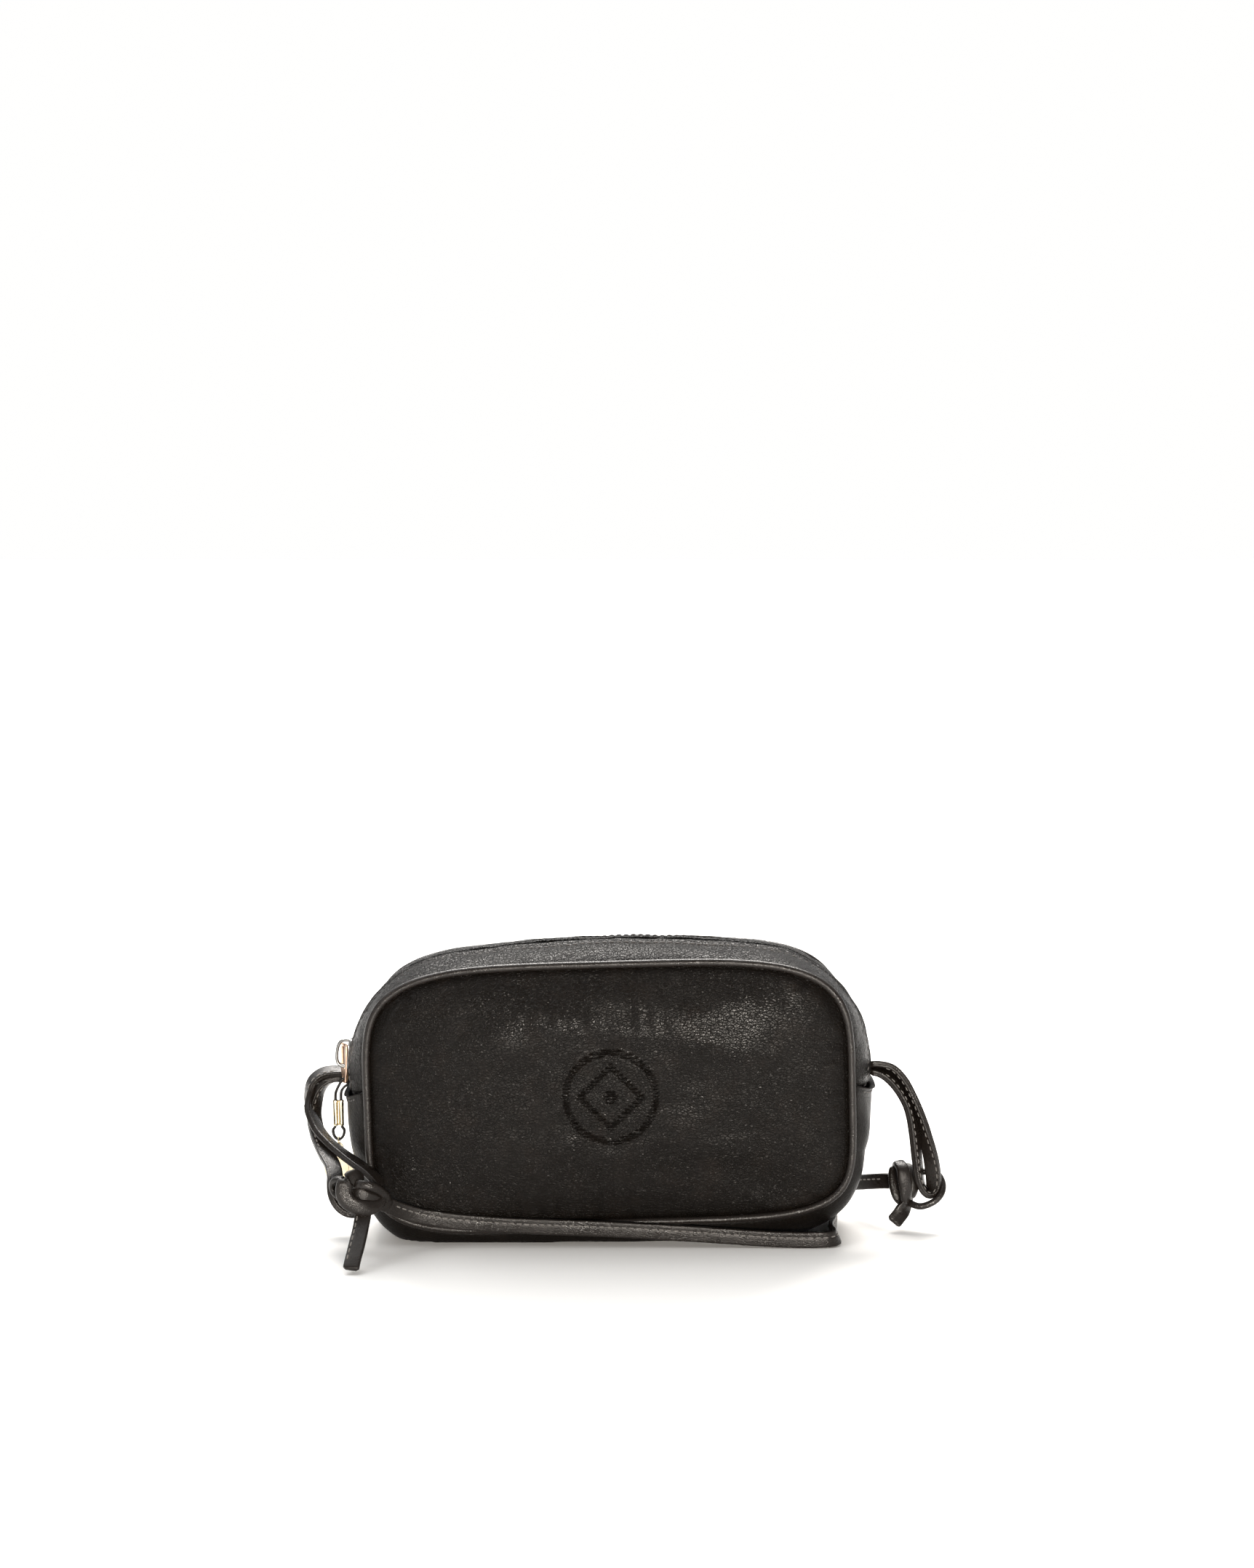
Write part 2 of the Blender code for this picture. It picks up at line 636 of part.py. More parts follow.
def add_slider(materials):
    centre, outwards, along = slider_frame()
    chain = CORNER_RADIUS - TAPE_INSET - TAPE / 2
    half = SLIDER_WIDTH / 2
    web = SLIDER_WEB / 2
    top = SLIDER_OUTER_GAP + SLIDER_PLATE
    bottom = -SLIDER_INNER_GAP - SLIDER_PLATE
    profile = [
        (-half, SLIDER_OUTER_GAP),
        (-web, SLIDER_OUTER_GAP),
        (-web, -SLIDER_INNER_GAP),
        (-half, -SLIDER_INNER_GAP),
        (-half, bottom),
        (half, bottom),
        (half, -SLIDER_INNER_GAP),
        (web, -SLIDER_INNER_GAP),
        (web, SLIDER_OUTER_GAP),
        (half, SLIDER_OUTER_GAP),
        (half, top),
        (-half, top),
    ]
    frame = frame_matrix(centre + chain * outwards, ACROSS_DEPTH, outwards)
    body = add_plate("slider_body", [profile], SLIDER_LENGTH, frame, materials["steel"])
    foot = chain + top + 0.0003
    arch = [
        (-BRIDGE_HALF_LENGTH, foot),
        (-BRIDGE_HALF_LENGTH, foot + 0.4 * BRIDGE_HEIGHT),
        (-0.80 * BRIDGE_HALF_LENGTH, foot + 0.72 * BRIDGE_HEIGHT),
        (-0.42 * BRIDGE_HALF_LENGTH, foot + 0.86 * BRIDGE_HEIGHT),
    ]
    arch += [(-x, y) for x, y in reversed(arch)]
    points = [centre + x * along + y * outwards for x, y in arch]
    bridge = add_tube("slider_bridge", points, BRIDGE_RADIUS, materials["steel"], sides=8)
    pivot = add_pivot("zip_travel_pivot", centre)
    hang_on(pivot, body, bridge)
    puller_place = centre + (chain + top + PULLER_HEIGHT) * outwards + PULLER_SHIFT * along
    return pivot, puller_place


def add_puller(place, materials):
    """A slotted plate that hangs from its top bar, with the cord's hole at its lower end."""
    half = PULLER_WIDTH / 2
    top = PULLER_THICKNESS / 2
    slot_half = SLOT_WIDTH / 2
    slot_top = -top
    slot_bottom = -0.0103
    end_radius = 0.0019
    end = -(PULLER_LENGTH - top - end_radius)
    outline = [(half, top), (-half, top), (-half, slot_bottom - 0.001)]
    outline += circle(0, end, end_radius, 9, math.radians(190), math.radians(350))
    outline += [(half, slot_bottom - 0.001)]
    slot = [(slot_half, slot_top), (-slot_half, slot_top)]
    slot += [(-slot_half, slot_bottom), (slot_half, slot_bottom)]
    hole = circle(0, end, 0.0011, 10)
    frame = frame_matrix(place, ACROSS_DEPTH, UP)
    return add_plate("puller_plate", [outline, slot, hole], PULLER_THICKNESS, frame, materials["rose"])


def add_pull_cord(place, materials):
    """One closed loop of leather cord through the puller's hole and both bores of the ferrule."""
    hole = place.z - (PULLER_LENGTH - PULLER_THICKNESS / 2 - 0.0019)
    left = CHAIN_X - FERRULE_RADIUS
    right = CHAIN_X + FERRULE_RADIUS
    bottom = FERRULE_TOP - FERRULE_LENGTH
    points = [
        (left, FERRULE_TOP),
        (left, FERRULE_TOP + 0.0020),
        (left + 0.0008, FERRULE_TOP + 0.0045),
        (place.x - 0.0015, hole - 0.0006),
        (place.x, hole + 0.0001),
        (place.x + 0.0014, hole - 0.0006),
        (place.x + 0.0013, hole - 0.0022),
        (place.x - 0.0008, hole - 0.0037),
        (right, FERRULE_TOP + 0.0036),
        (right, FERRULE_TOP),
        (right, bottom),
        (right + 0.0012, bottom - 0.0022),
        (right + 0.0006, bottom - 0.0048),
        (CHAIN_X, CORD_LOOP_BOTTOM),
        (left - 0.0006, bottom - 0.0048),
        (left - 0.0012, bottom - 0.0022),
        (left, bottom),
    ]
    return add_tube(
        "pull_cord", [(x, 0, z) for x, z in points], CORD_RADIUS, materials["strap"], closed=True, sides=6
    )


def add_ferrule(materials):
    half_turn = math.pi / 2
    shell = circle(FERRULE_RADIUS, 0, FERRULE_RADIUS, 9, -half_turn, half_turn)
    shell += circle(-FERRULE_RADIUS, 0, FERRULE_RADIUS, 9, half_turn, 3 * half_turn)
    bores = [circle(side * FERRULE_RADIUS, 0, FERRULE_BORE, 10) for side in (-1, 1)]
    place = Vector((CHAIN_X, 0, FERRULE_TOP - FERRULE_LENGTH / 2))
    frame = frame_matrix(place, ALONG_BAG, ACROSS_DEPTH)
    return add_plate("pull_ferrule", [shell, *bores], FERRULE_LENGTH, frame, materials["gold"])


def add_charm(materials):
    """A round charm with a lug, on a ring that hangs from the cord's lower loop."""
    ring_centre = CORD_LOOP_BOTTOM - RING_RADIUS + RING_WIRE + CORD_RADIUS + 0.0003
    bpy.ops.mesh.primitive_torus_add(
        major_radius=RING_RADIUS,
        minor_radius=RING_WIRE,
        major_segments=16,
        minor_segments=6,
        location=(CHAIN_X, 0, ring_centre),
        rotation=(0, math.pi / 2, 0),
    )
    ring = bpy.context.object
    ring.name = "charm_ring"
    ring.data.materials.append(materials["gold"])
    ring.data.shade_smooth()
    bpy.context.collection.objects.unlink(ring)
    COLLECTION.objects.link(ring)
    lug_height = ring_centre - RING_RADIUS
    outline = circle(0, 0, CHARM_RADIUS, 25, math.radians(105), math.radians(435))
    outline += circle(0, CHARM_LUG_RISE, CHARM_LUG_RADIUS, 9, math.radians(0), math.radians(180))
    hole = circle(0, CHARM_LUG_RISE, CHARM_HOLE_RADIUS, 10)
    place = Vector((CHAIN_X, 0, lug_height - CHARM_LUG_RISE))
    frame = frame_matrix(place, ALONG_BAG, UP)
    charm = add_plate("charm", [outline, hole], CHARM_THICKNESS, frame, materials["gold"])
    return ring, charm


def add_moving_pieces(materials):
    zip_pivot, puller_place = add_slider(materials)
    puller_pivot = add_pivot("puller_tilt_pivot", puller_place)
    plate = add_puller(puller_place, materials)
    cord = add_pull_cord(puller_place, materials)
    ferrule = add_ferrule(materials)
    hang_on(puller_pivot, plate, cord, ferrule)
    charm_pivot = add_pivot("charm_swing_pivot", (CHAIN_X, 0, CORD_LOOP_BOTTOM))
    hang_on(charm_pivot, *add_charm(materials))
    hang_on(puller_pivot, charm_pivot)
    hang_on(zip_pivot, puller_pivot)


# The strap and the loops that hold it


def add_strap(materials):
    leather = materials["strap"]
    add_strip("left_side_loop", LEFT_LOOP, ACROSS_DEPTH, LOOP_SPACING, leather)
    add_strip("right_side_loop", RIGHT_LOOP, ACROSS_DEPTH, LOOP_SPACING, leather)
    add_strip("strap", STRAP, UP, STRIP_SPACING, leather)
    add_strip("left_tail", LEFT_TAIL, ALONG_BAG, LOOP_SPACING, leather)
    add_strip("right_tail", RIGHT_TAIL, RIGHT_TAIL_WIDTH, LOOP_SPACING, leather)
    add_knot("left_knot", LEFT_KNOT, LEFT_KNOT_RADII, leather)
    add_knot("right_knot", RIGHT_KNOT, RIGHT_KNOT_RADII, leather)


clear_scene()
COLLECTION = make_collection()
MATERIALS = make_materials()
add_panels(MATERIALS)
add_piping(MATERIALS)
add_zip(add_gussets(MATERIALS), MATERIALS)
add_moving_pieces(MATERIALS)
add_strap(MATERIALS)
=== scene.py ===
"""The looks of the leather makeup bag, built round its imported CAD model.

Metres, +Z up, in the CAD model's frame: X along the bag, its front facing -Y. The outlines and the
routes of the strap repeat those of the CAD model."""

import math

import bpy
import numpy as np
from mathutils import Matrix, Vector, noise


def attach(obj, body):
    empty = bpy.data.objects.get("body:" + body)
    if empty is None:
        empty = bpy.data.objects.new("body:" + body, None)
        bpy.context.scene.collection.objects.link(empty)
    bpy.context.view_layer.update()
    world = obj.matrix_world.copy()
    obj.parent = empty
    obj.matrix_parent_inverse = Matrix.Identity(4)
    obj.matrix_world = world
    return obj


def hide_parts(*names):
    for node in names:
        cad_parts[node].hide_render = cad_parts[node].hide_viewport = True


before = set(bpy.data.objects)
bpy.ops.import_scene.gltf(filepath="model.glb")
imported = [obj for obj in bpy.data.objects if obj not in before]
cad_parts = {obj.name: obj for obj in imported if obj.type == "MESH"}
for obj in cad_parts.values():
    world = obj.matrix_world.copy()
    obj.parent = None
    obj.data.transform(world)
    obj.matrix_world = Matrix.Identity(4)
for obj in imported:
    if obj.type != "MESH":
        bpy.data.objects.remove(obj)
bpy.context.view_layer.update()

# The bag's outlines, as in the CAD model.
HALF_WIDTH = 0.1005
HALF_HEIGHT = 0.0545
CENTRE_HEIGHT = 0.0640
UPPER_POWER = 4.3
LOWER_POWER = 5.6
DEPTH = 0.054
PIPING_RADIUS = 0.0013
LEAN = math.radians(1.65)
CORNER_SAG = 0.0022
SAG_REACH = 0.070
CORNER_X = 0.060
CORNER_Z = 0.071
CORNER_RADIUS = 0.050
CORNER_END = math.radians(82)
BASE_HALF_WIDTH = 0.1075
BASE_HALF_HEIGHT = 0.0700
BASE_POWER = 4.3
TAB_BULGE = 0.0055
TAB_BULGE_REACH = 0.030
LEFT_TAB_HEIGHT = 0.0685
RIGHT_TAB_HEIGHT = 0.0655
TAB_DIP = 0.0050
ZIP_GUSSET_ROUNDNESS = 2.4
BASE_GUSSET_ROUNDNESS = 5.0
LEATHER = 0.0013
LAYER_GAP = 0.0004
PADDING = 0.0020
LINING = 0.0005
DOME = 0.0065
DOME_POWER = 3.2
ZIP_OPENING = 0.0100
TAPE_INSET = 0.0016
TAPE = 0.0005
TEETH_HEIGHT = 0.0023

# The moving pieces, as in the CAD model.
SLIDER_ANGLE = math.radians(8.6)
SLIDER_LENGTH = 0.0130
PULLER_HEIGHT = 0.0022
PULLER_SHIFT = 0.0034
PULLER_HOLE_DROP = 0.0145
CHAIN_X = -0.1153
FERRULE_TOP = 0.0552
FERRULE_LENGTH = 0.0108
FERRULE_RADIUS = 0.0012
CORD_LOOP_BOTTOM = 0.0382

# Details that only the looks have.
PULLER_TURN = math.radians(28)
LOOP_THICKNESS = 0.0028
PIPING_SWOLLEN = 0.00160
STITCH_PITCH = 0.0031
STITCH_LENGTH = 0.0023
STITCH_RADIUS = 0.00028
TOOTH_PITCH = 0.0022
GUSSET_EDGE = DEPTH / 2 - 0.0006
ZIP_LIP = ZIP_OPENING / 2
ZIP_STITCH_LINE = ZIP_LIP + 0.0048
TAPE_MIDDLE = TAPE_INSET + TAPE / 2
TAB_STITCH_SHARE = 0.0022 / 0.33 + 0.0006
STRAP_STITCH_LINE = 0.0011
LOOP_STITCH_LINE = -0.0020
TAIL_STITCH_LINE = -0.0022
FOAM = 0.0009
FOAM_MARGIN = 0.0050
LINING_MARGIN = 0.0064
LINING_DEPTH = LEATHER + PADDING + 3 * LAYER_GAP
SWELL_CAP = 0.0022
CLOTH_FRAMES = 22
STRIP_WIDTH = 0.0066
STRIP_THICKNESS = 0.0022
EMBLEM_CENTRE_X = 0.0006
EMBLEM_CENTRE_Z = 0.0646
EMBLEM_RADIUS = 0.0186
HATCH_PITCH = 0.00145

UP = Vector((0, 0, 1))
ACROSS_DEPTH = Vector((0, 1, 0))
ALONG_BAG = Vector((1, 0, 0))
SIDES = ((-1, "front"), (1, "back"))

LEFT_LOOP = [
    # place, then the direction of the strip's width
    (-0.1106, 0.0070, 0.0657, 0.0, 1.0, 0.2),
    (-0.1180, 0.0070, 0.0661, 0.0, 0.9, 0.3),
    (-0.1230, 0.0065, 0.0652, -0.1, 0.9, 0.3),
    (-0.1268, 0.0050, 0.0622, -0.3, 0.9, 0.2),
    (-0.1282, 0.0030, 0.0575, -0.3, 0.9, 0.0),
    (-0.1280, 0.0000, 0.0530, -0.1, 1.0, 0.0),
    (-0.1260, -0.0040, 0.0490, 0.3, 0.9, -0.2),
    (-0.1223, -0.0100, 0.0443, 0.5, 0.8, -0.3),
    (-0.1169, -0.0170, 0.0407, 0.5, 0.8, -0.3),
    (-0.1109, -0.0240, 0.0381, 0.5, 0.8, -0.2),
    (-0.1047, -0.0310, 0.0358, 0.5, 0.8, -0.1),
    (-0.0989, -0.0365, 0.0332, 0.4, 0.8, -0.1),
    (-0.0952, -0.0395, 0.0300, 0.3, 0.9, 0.0),
    (-0.0942, -0.0398, 0.0262, 0.0, 1.0, 0.0),
    (-0.0955, -0.0396, 0.0218, 0.0, 1.0, 0.0),
    (-0.0995, -0.0394, 0.0184, 0.0, 1.0, 0.0),
    (-0.1061, -0.0392, 0.0170, 0.0, 1.0, 0.0),
    (-0.1112, -0.0388, 0.0195, 0.0, 1.0, 0.0),
    (-0.1135, -0.0380, 0.0245, 0.3, 0.9, 0.0),
    (-0.1132, -0.0350, 0.0300, 0.8, 0.5, 0.1),
    (-0.1147, -0.0285, 0.0338, 0.9, 0.3, 0.1),
    (-0.1182, -0.0205, 0.0368, 0.9, 0.3, 0.1),
    (-0.1217, -0.0120, 0.0402, 0.9, 0.4, 0.0),
    (-0.1242, -0.0050, 0.0440, 0.8, 0.6, 0.0),
    (-0.1256, 0.0000, 0.0487, 0.6, 0.8, 0.0),
    (-0.1253, 0.0030, 0.0532, 0.5, 0.8, 0.0),
    (-0.1240, 0.0050, 0.0580, 0.4, 0.9, -0.1),
    (-0.1213, 0.0065, 0.0612, 0.2, 0.9, -0.2),
    (-0.1175, 0.0070, 0.0628, 0.0, 1.0, -0.2),
    (-0.1106, 0.0070, 0.0628, 0.0, 1.0, 0.0),
]
RIGHT_LOOP = [
    (0.1102, 0.0000, 0.0706, 0.0, 1.0, -0.2),
    (0.1136, 0.0000, 0.0708, 0.0, 1.0, -0.3),
    (0.1199, 0.0000, 0.0690, -0.1, 1.0, -0.3),
    (0.1246, 0.0000, 0.0637, -0.3, 1.0, -0.2),
    (0.1283, 0.0000, 0.0569, -0.3, 1.0, -0.1),
    (0.1317, 0.0000, 0.0485, -0.4, 0.9, -0.1),
    (0.1342, 0.0000, 0.0401, -0.6, 0.8, 0.0),
    (0.1364, 0.0000, 0.0316, -0.8, 0.6, 0.0),
    (0.1377, 0.0000, 0.0242, -0.9, 0.4, 0.0),
    (0.1380, 0.0000, 0.0175, -0.8, 0.6, 0.1),
    (0.1362, 0.0000, 0.0148, -0.2, 1.0, 0.2),
    (0.1341, 0.0000, 0.0158, 0.1, 1.0, 0.1),
    (0.1324, 0.0000, 0.0195, 0.3, 0.9, 0.0),
    (0.1316, 0.0000, 0.0234, 0.4, 0.9, 0.0),
    (0.1306, 0.0000, 0.0319, 0.5, 0.9, 0.0),
    (0.1296, 0.0000, 0.0403, 0.5, 0.9, 0.0),
    (0.1280, 0.0000, 0.0487, 0.4, 0.9, 0.1),
    (0.1258, 0.0000, 0.0550, 0.3, 0.9, 0.2),
    (0.1220, 0.0000, 0.0612, 0.2, 0.9, 0.3),
    (0.1178, 0.0000, 0.0656, 0.1, 0.9, 0.3),
    (0.1136, 0.0000, 0.0677, 0.0, 1.0, 0.2),
    (0.1102, 0.0000, 0.0678, 0.0, 1.0, 0.0),
]
STRAP = [
    # out of the left knot and along the front
    (-0.0916, -0.0418, 0.0213),
    (-0.0870, -0.0378, 0.0181),
    (-0.0800, -0.0345, 0.0149),
    (-0.0700, -0.0322, 0.0124),
    (-0.0600, -0.0314, 0.0110),
    (-0.0400, -0.0312, 0.0095),
    (-0.0050, -0.0312, 0.0082),
    (0.0180, -0.0312, 0.0070),
    (0.0470, -0.0312, 0.0051),
    (0.0620, -0.0314, 0.0041),
    (0.0750, -0.0317, 0.0036),
    (0.0860, -0.0318, 0.0036),
    # the turn at the right, leaning, and back under the bag's corner
    (0.0920, -0.0308, 0.0036, -0.15, 0.0, 1.0),
    (0.0946, -0.0280, 0.0036, -0.35, 0.1, 0.9),
    (0.0944, -0.0245, 0.0036, -0.35, 0.0, 0.9),
    (0.0930, -0.0200, 0.0036, -0.10, 0.0, 1.0),
    (0.0934, -0.0140, 0.0036),
    (0.0952, -0.0060, 0.0036),
    (0.0962, 0.0060, 0.0036),
    (0.0952, 0.0200, 0.0036),
    (0.0905, 0.0320, 0.0036),
    (0.0820, 0.0375, 0.0036),
    # the spare length, in runs behind the bag
    (0.0400, 0.0380, 0.0036),
    (-0.0200, 0.0380, 0.0036),
    (-0.0800, 0.0380, 0.0036),
    (-0.0880, 0.0390, 0.0036),
    (-0.0915, 0.0420, 0.0036),
    (-0.0880, 0.0450, 0.0036),
    (-0.0800, 0.0460, 0.0036),
    (-0.0200, 0.0460, 0.0036),
    (0.0400, 0.0460, 0.0036),
    (0.0760, 0.0460, 0.0036),
    (0.0840, 0.0470, 0.0036),
    (0.0875, 0.0500, 0.0036),
    (0.0840, 0.0530, 0.0036),
    (0.0760, 0.0540, 0.0036),
    (0.0200, 0.0540, 0.0036),
    (-0.0400, 0.0540, 0.0036),
    (-0.0800, 0.0540, 0.0036),
    (-0.0880, 0.0550, 0.0036),
    (-0.0915, 0.0580, 0.0036),
    (-0.0880, 0.0610, 0.0036),
    (-0.0800, 0.0620, 0.0036),
    (-0.0200, 0.0620, 0.0036),
    (0.0400, 0.0620, 0.0036),
    (0.0760, 0.0610, 0.0036),
    # round the back corner and up to the right knot
    (0.0920, 0.0530, 0.0045),
    (0.1010, 0.0400, 0.0080),
    (0.1060, 0.0285, 0.0117),
    (0.1105, 0.0195, 0.0145),
    (0.1155, 0.0120, 0.0168),
    (0.1212, 0.0056, 0.0187),
]
LEFT_TAIL = [
    (-0.1000, -0.0478, 0.0225, 1.0, 0.2, 0.0),
    (-0.1003, -0.0505, 0.0184, 1.0, 0.1, 0.0),
    (-0.1008, -0.0535, 0.0152, 1.0, 0.0, 0.0),
    (-0.1016, -0.0590, 0.0108, 1.0, 0.0, 0.1),
    (-0.1027, -0.0650, 0.0058, 1.0, 0.0, 0.1),
    (-0.1034, -0.0690, 0.0021, 1.0, 0.0, 0.0),
]
LEFT_WRAPS = [
    [
        # the broad turn that closes the knot on its left
        (-0.1010, -0.0455, 0.0318, 0.2, 0.9, 0.3),
        (-0.1036, -0.0492, 0.0345, 0.3, 0.5, 0.8),
        (-0.1066, -0.0512, 0.0334, 0.7, 0.2, 0.6),
        (-0.1078, -0.0518, 0.0298, 1.0, 0.1, 0.0),
        (-0.1066, -0.0520, 0.0262, 0.9, 0.1, 0.4),
        (-0.1034, -0.0518, 0.0236, 0.6, 0.1, 0.8),
        (-0.0998, -0.0508, 0.0224, 0.2, 0.2, 1.0),
        (-0.0966, -0.0486, 0.0226, -0.3, 0.4, 0.9),
        (-0.0944, -0.0455, 0.0242, -0.5, 0.7, 0.5),
        (-0.0940, -0.0425, 0.0266, -0.3, 0.9, 0.0),
    ],
    [
        # the narrow turn over the top, round the strap where it leaves
        (-0.1050, -0.0470, 0.0306, 0.5, 0.5, 0.7),
        (-0.1030, -0.0500, 0.0320, -0.3, 0.2, 0.9),
        (-0.0998, -0.0516, 0.0322, 0.0, 0.3, 1.0),
        (-0.0962, -0.0510, 0.0312, 0.3, 0.3, 0.9),
        (-0.0932, -0.0484, 0.0288, 0.7, 0.4, 0.5),
        (-0.0914, -0.0450, 0.0258, 0.8, 0.6, 0.1),
        (-0.0910, -0.0420, 0.0232, 0.7, 0.7, 0.0),
    ],
    [
        # the strap running into the knot
        (-0.1046, -0.0478, 0.0292, 0.5, 0.1, 0.8),
        (-0.1020, -0.0492, 0.0280, 0.4, 0.1, 0.9),
        (-0.0990, -0.0490, 0.0262, 0.4, 0.1, 0.9),
        (-0.0960, -0.0468, 0.0243, 0.4, 0.0, 0.9),
        (-0.0930, -0.0436, 0.0224, 0.3, 0.0, 1.0),
        (-0.0902, -0.0404, 0.0203, 0.3, 0.0, 1.0),
    ],
    [
        # the turn behind, seen through the front ones
        (-0.1060, -0.0462, 0.0250, 0.6, 0.1, 0.8),
        (-0.1030, -0.0480, 0.0250, 0.2, 0.1, 1.0),
        (-0.0995, -0.0480, 0.0262, -0.2, 0.1, 1.0),
        (-0.0962, -0.0462, 0.0280, -0.3, 0.2, 0.9),
        (-0.0940, -0.0436, 0.0290, -0.3, 0.5, 0.8),
    ],
]
# the width and thickness of each turn
LEFT_WRAP_SIZES = ((0.0068, 0.0034), (0.0036, 0.0026), (0.0064, 0.0026), (0.0060, 0.0030))
LEFT_RING = [
    (-0.1085, -0.0450, 0.0325),
    (-0.1110, -0.0440, 0.0326),
    (-0.1130, -0.0424, 0.0312),
    (-0.1136, -0.0412, 0.0288),
    (-0.1127, -0.0415, 0.0264),
    (-0.1105, -0.0432, 0.0252),
    (-0.1080, -0.0448, 0.0252),
]
RIGHT_WRAPS = [
    [
        # the band round the front, which runs on into the tail
        (0.1232, 0.0050, 0.0262, 0.3, 0.9, 0.0),
        (0.1236, 0.0012, 0.0272, 0.8, 0.4, 0.0),
        (0.1246, -0.0022, 0.0258, 0.9, 0.3, 0.1),
        (0.1250, -0.0036, 0.0222, 1.0, 0.1, 0.1),
        (0.1256, -0.0036, 0.0180, 0.9, 0.1, 0.3),
        (0.1262, -0.0028, 0.0142, 0.7, 0.5, 0.3),
        (0.1262, -0.0018, 0.0110, 0.6, 0.6, -0.3),
    ],
    [
        # the turn round the strap
        (0.1218, 0.0052, 0.0246, 0.5, 0.8, 0.1),
        (0.1212, 0.0030, 0.0215, 0.9, 0.4, 0.0),
        (0.1216, 0.0010, 0.0170, 0.9, 0.3, 0.2),
        (0.1230, 0.0000, 0.0132, 0.8, 0.4, 0.5),
        (0.1256, 0.0012, 0.0112, 0.4, 0.6, 0.6),
        (0.1284, 0.0030, 0.0125, 0.0, 0.7, 0.7),
    ],
    [
        # the turn at the back, beside the ring
        (0.1262, 0.0060, 0.0252, 0.7, 0.6, 0.2),
        (0.1286, 0.0040, 0.0238, 0.8, 0.4, 0.2),
        (0.1296, 0.0015, 0.0205, 0.8, 0.4, 0.0),
        (0.1294, 0.0000, 0.0165, 0.8, 0.4, 0.0),
        (0.1282, 0.0004, 0.0128, 0.8, 0.4, 0.2),
    ],
]
RIGHT_WRAP_SIZES = ((0.0056, 0.0030), (0.0048, 0.0030), (0.0044, 0.0030))
RIGHT_RING = [
    (0.1262, 0.0010, 0.0120),
    (0.1285, -0.0025, 0.0108),
    (0.1318, -0.0040, 0.0101),
    (0.1356, -0.0040, 0.0110),
    (0.1392, -0.0034, 0.0131),
    (0.1415, -0.0018, 0.0160),
    (0.1419, 0.0010, 0.0190),
    (0.1404, 0.0032, 0.0218),
    (0.1378, 0.0042, 0.0232),
    (0.1340, 0.0042, 0.0230),
    (0.1300, 0.0036, 0.0220),
]
RIGHT_TAIL = [
    (0.1264, -0.0012, 0.0128, 0.6, 0.6, -0.3),
    (0.1258, -0.0025, 0.0098, 0.6, 0.5, -0.6),
    (0.1240, -0.0042, 0.0074, 0.8, 0.0, -0.6),
    (0.1218, -0.0058, 0.0052, 0.8, -0.2, -0.6),
    (0.1203, -0.0068, 0.0038, 0.8, -0.3, -0.5),
]


# Materials


class Nodes:
    """A material's node tree, with short ways to add to it."""

    def __init__(self, name):
        self.material = bpy.data.materials.new(name)
        self.material.use_nodes = True
        self.tree = self.material.node_tree
        self.shader = self.tree.nodes["Principled BSDF"]
        self.place = self.tree.nodes.new("ShaderNodeTexCoord").outputs["Object"]

    def add(self, kind, settings=None, **inputs):
        node = self.tree.nodes.new(kind)
        for key, value in (settings or {}).items():
            setattr(node, key, value)
        for key, value in inputs.items():
            self.join(value, node.inputs[key.replace("_", " ")])
        return node

    def join(self, value, socket):
        if isinstance(value, bpy.types.NodeSocket):
            self.tree.links.new(value, socket)
        else:
            socket.default_value = value

    def set(self, **inputs):
        for key, value in inputs.items():
            self.join(value, self.shader.inputs[key.replace("_", " ")])

    def scaled(self, sizes):
        node = self.add("ShaderNodeMapping", Vector=self.place)
        node.inputs["Scale"].default_value = sizes
        return node.outputs["Vector"]

    def noise(self, size, detail=3.0, vector=None, roughness=0.55):
        """Noise whose features are about this size, in metres."""
        inputs = {"Vector": vector or self.place, "Scale": 1 / size, "Detail": detail, "Roughness": roughness}
        node = self.add("ShaderNodeTexNoise", **inputs)
        return node.outputs["Fac"]

    def cells(self, size, vector=None):
        """How far each place is from the nearest edge between cells."""
        settings = {"feature": "DISTANCE_TO_EDGE"}
        node = self.add("ShaderNodeTexVoronoi", settings, Vector=vector or self.place, Scale=1 / size)
        return node.outputs["Distance"]

    def ramp(self, value, *stops):
        """Maps a value through (position, value or colour) stops."""
        node = self.tree.nodes.new("ShaderNodeValToRGB")
        self.join(value, node.inputs["Fac"])
        elements = node.color_ramp.elements
        while len(elements) < len(stops):
            elements.new(0.5)
        for element, (position, colour) in zip(elements, stops):
            element.position = position
            element.color = (*colour, 1) if isinstance(colour, tuple) else (colour, colour, colour, 1)
        return node.outputs["Color"]

    def math(self, operation, *values):
        node = self.add("ShaderNodeMath", {"operation": operation})
        for value, socket in zip(values, node.inputs):
            self.join(value, socket)
        return node.outputs["Value"]

    def mix(self, share, first, second):
        node = self.add("ShaderNodeMix", {"data_type": "RGBA"})
        self.join(share, node.inputs["Factor"])
        self.join(first, node.inputs[6])
        self.join(second, node.inputs[7])
        return node.outputs[2]

    def bump(self, height, distance, strength=1.0, **under):
        """Raises a height over the surface, or over the normal that is under it."""
        node = self.add("ShaderNodeBump", Height=height, Distance=distance, Strength=strength, **under)
        return node.outputs["Normal"]


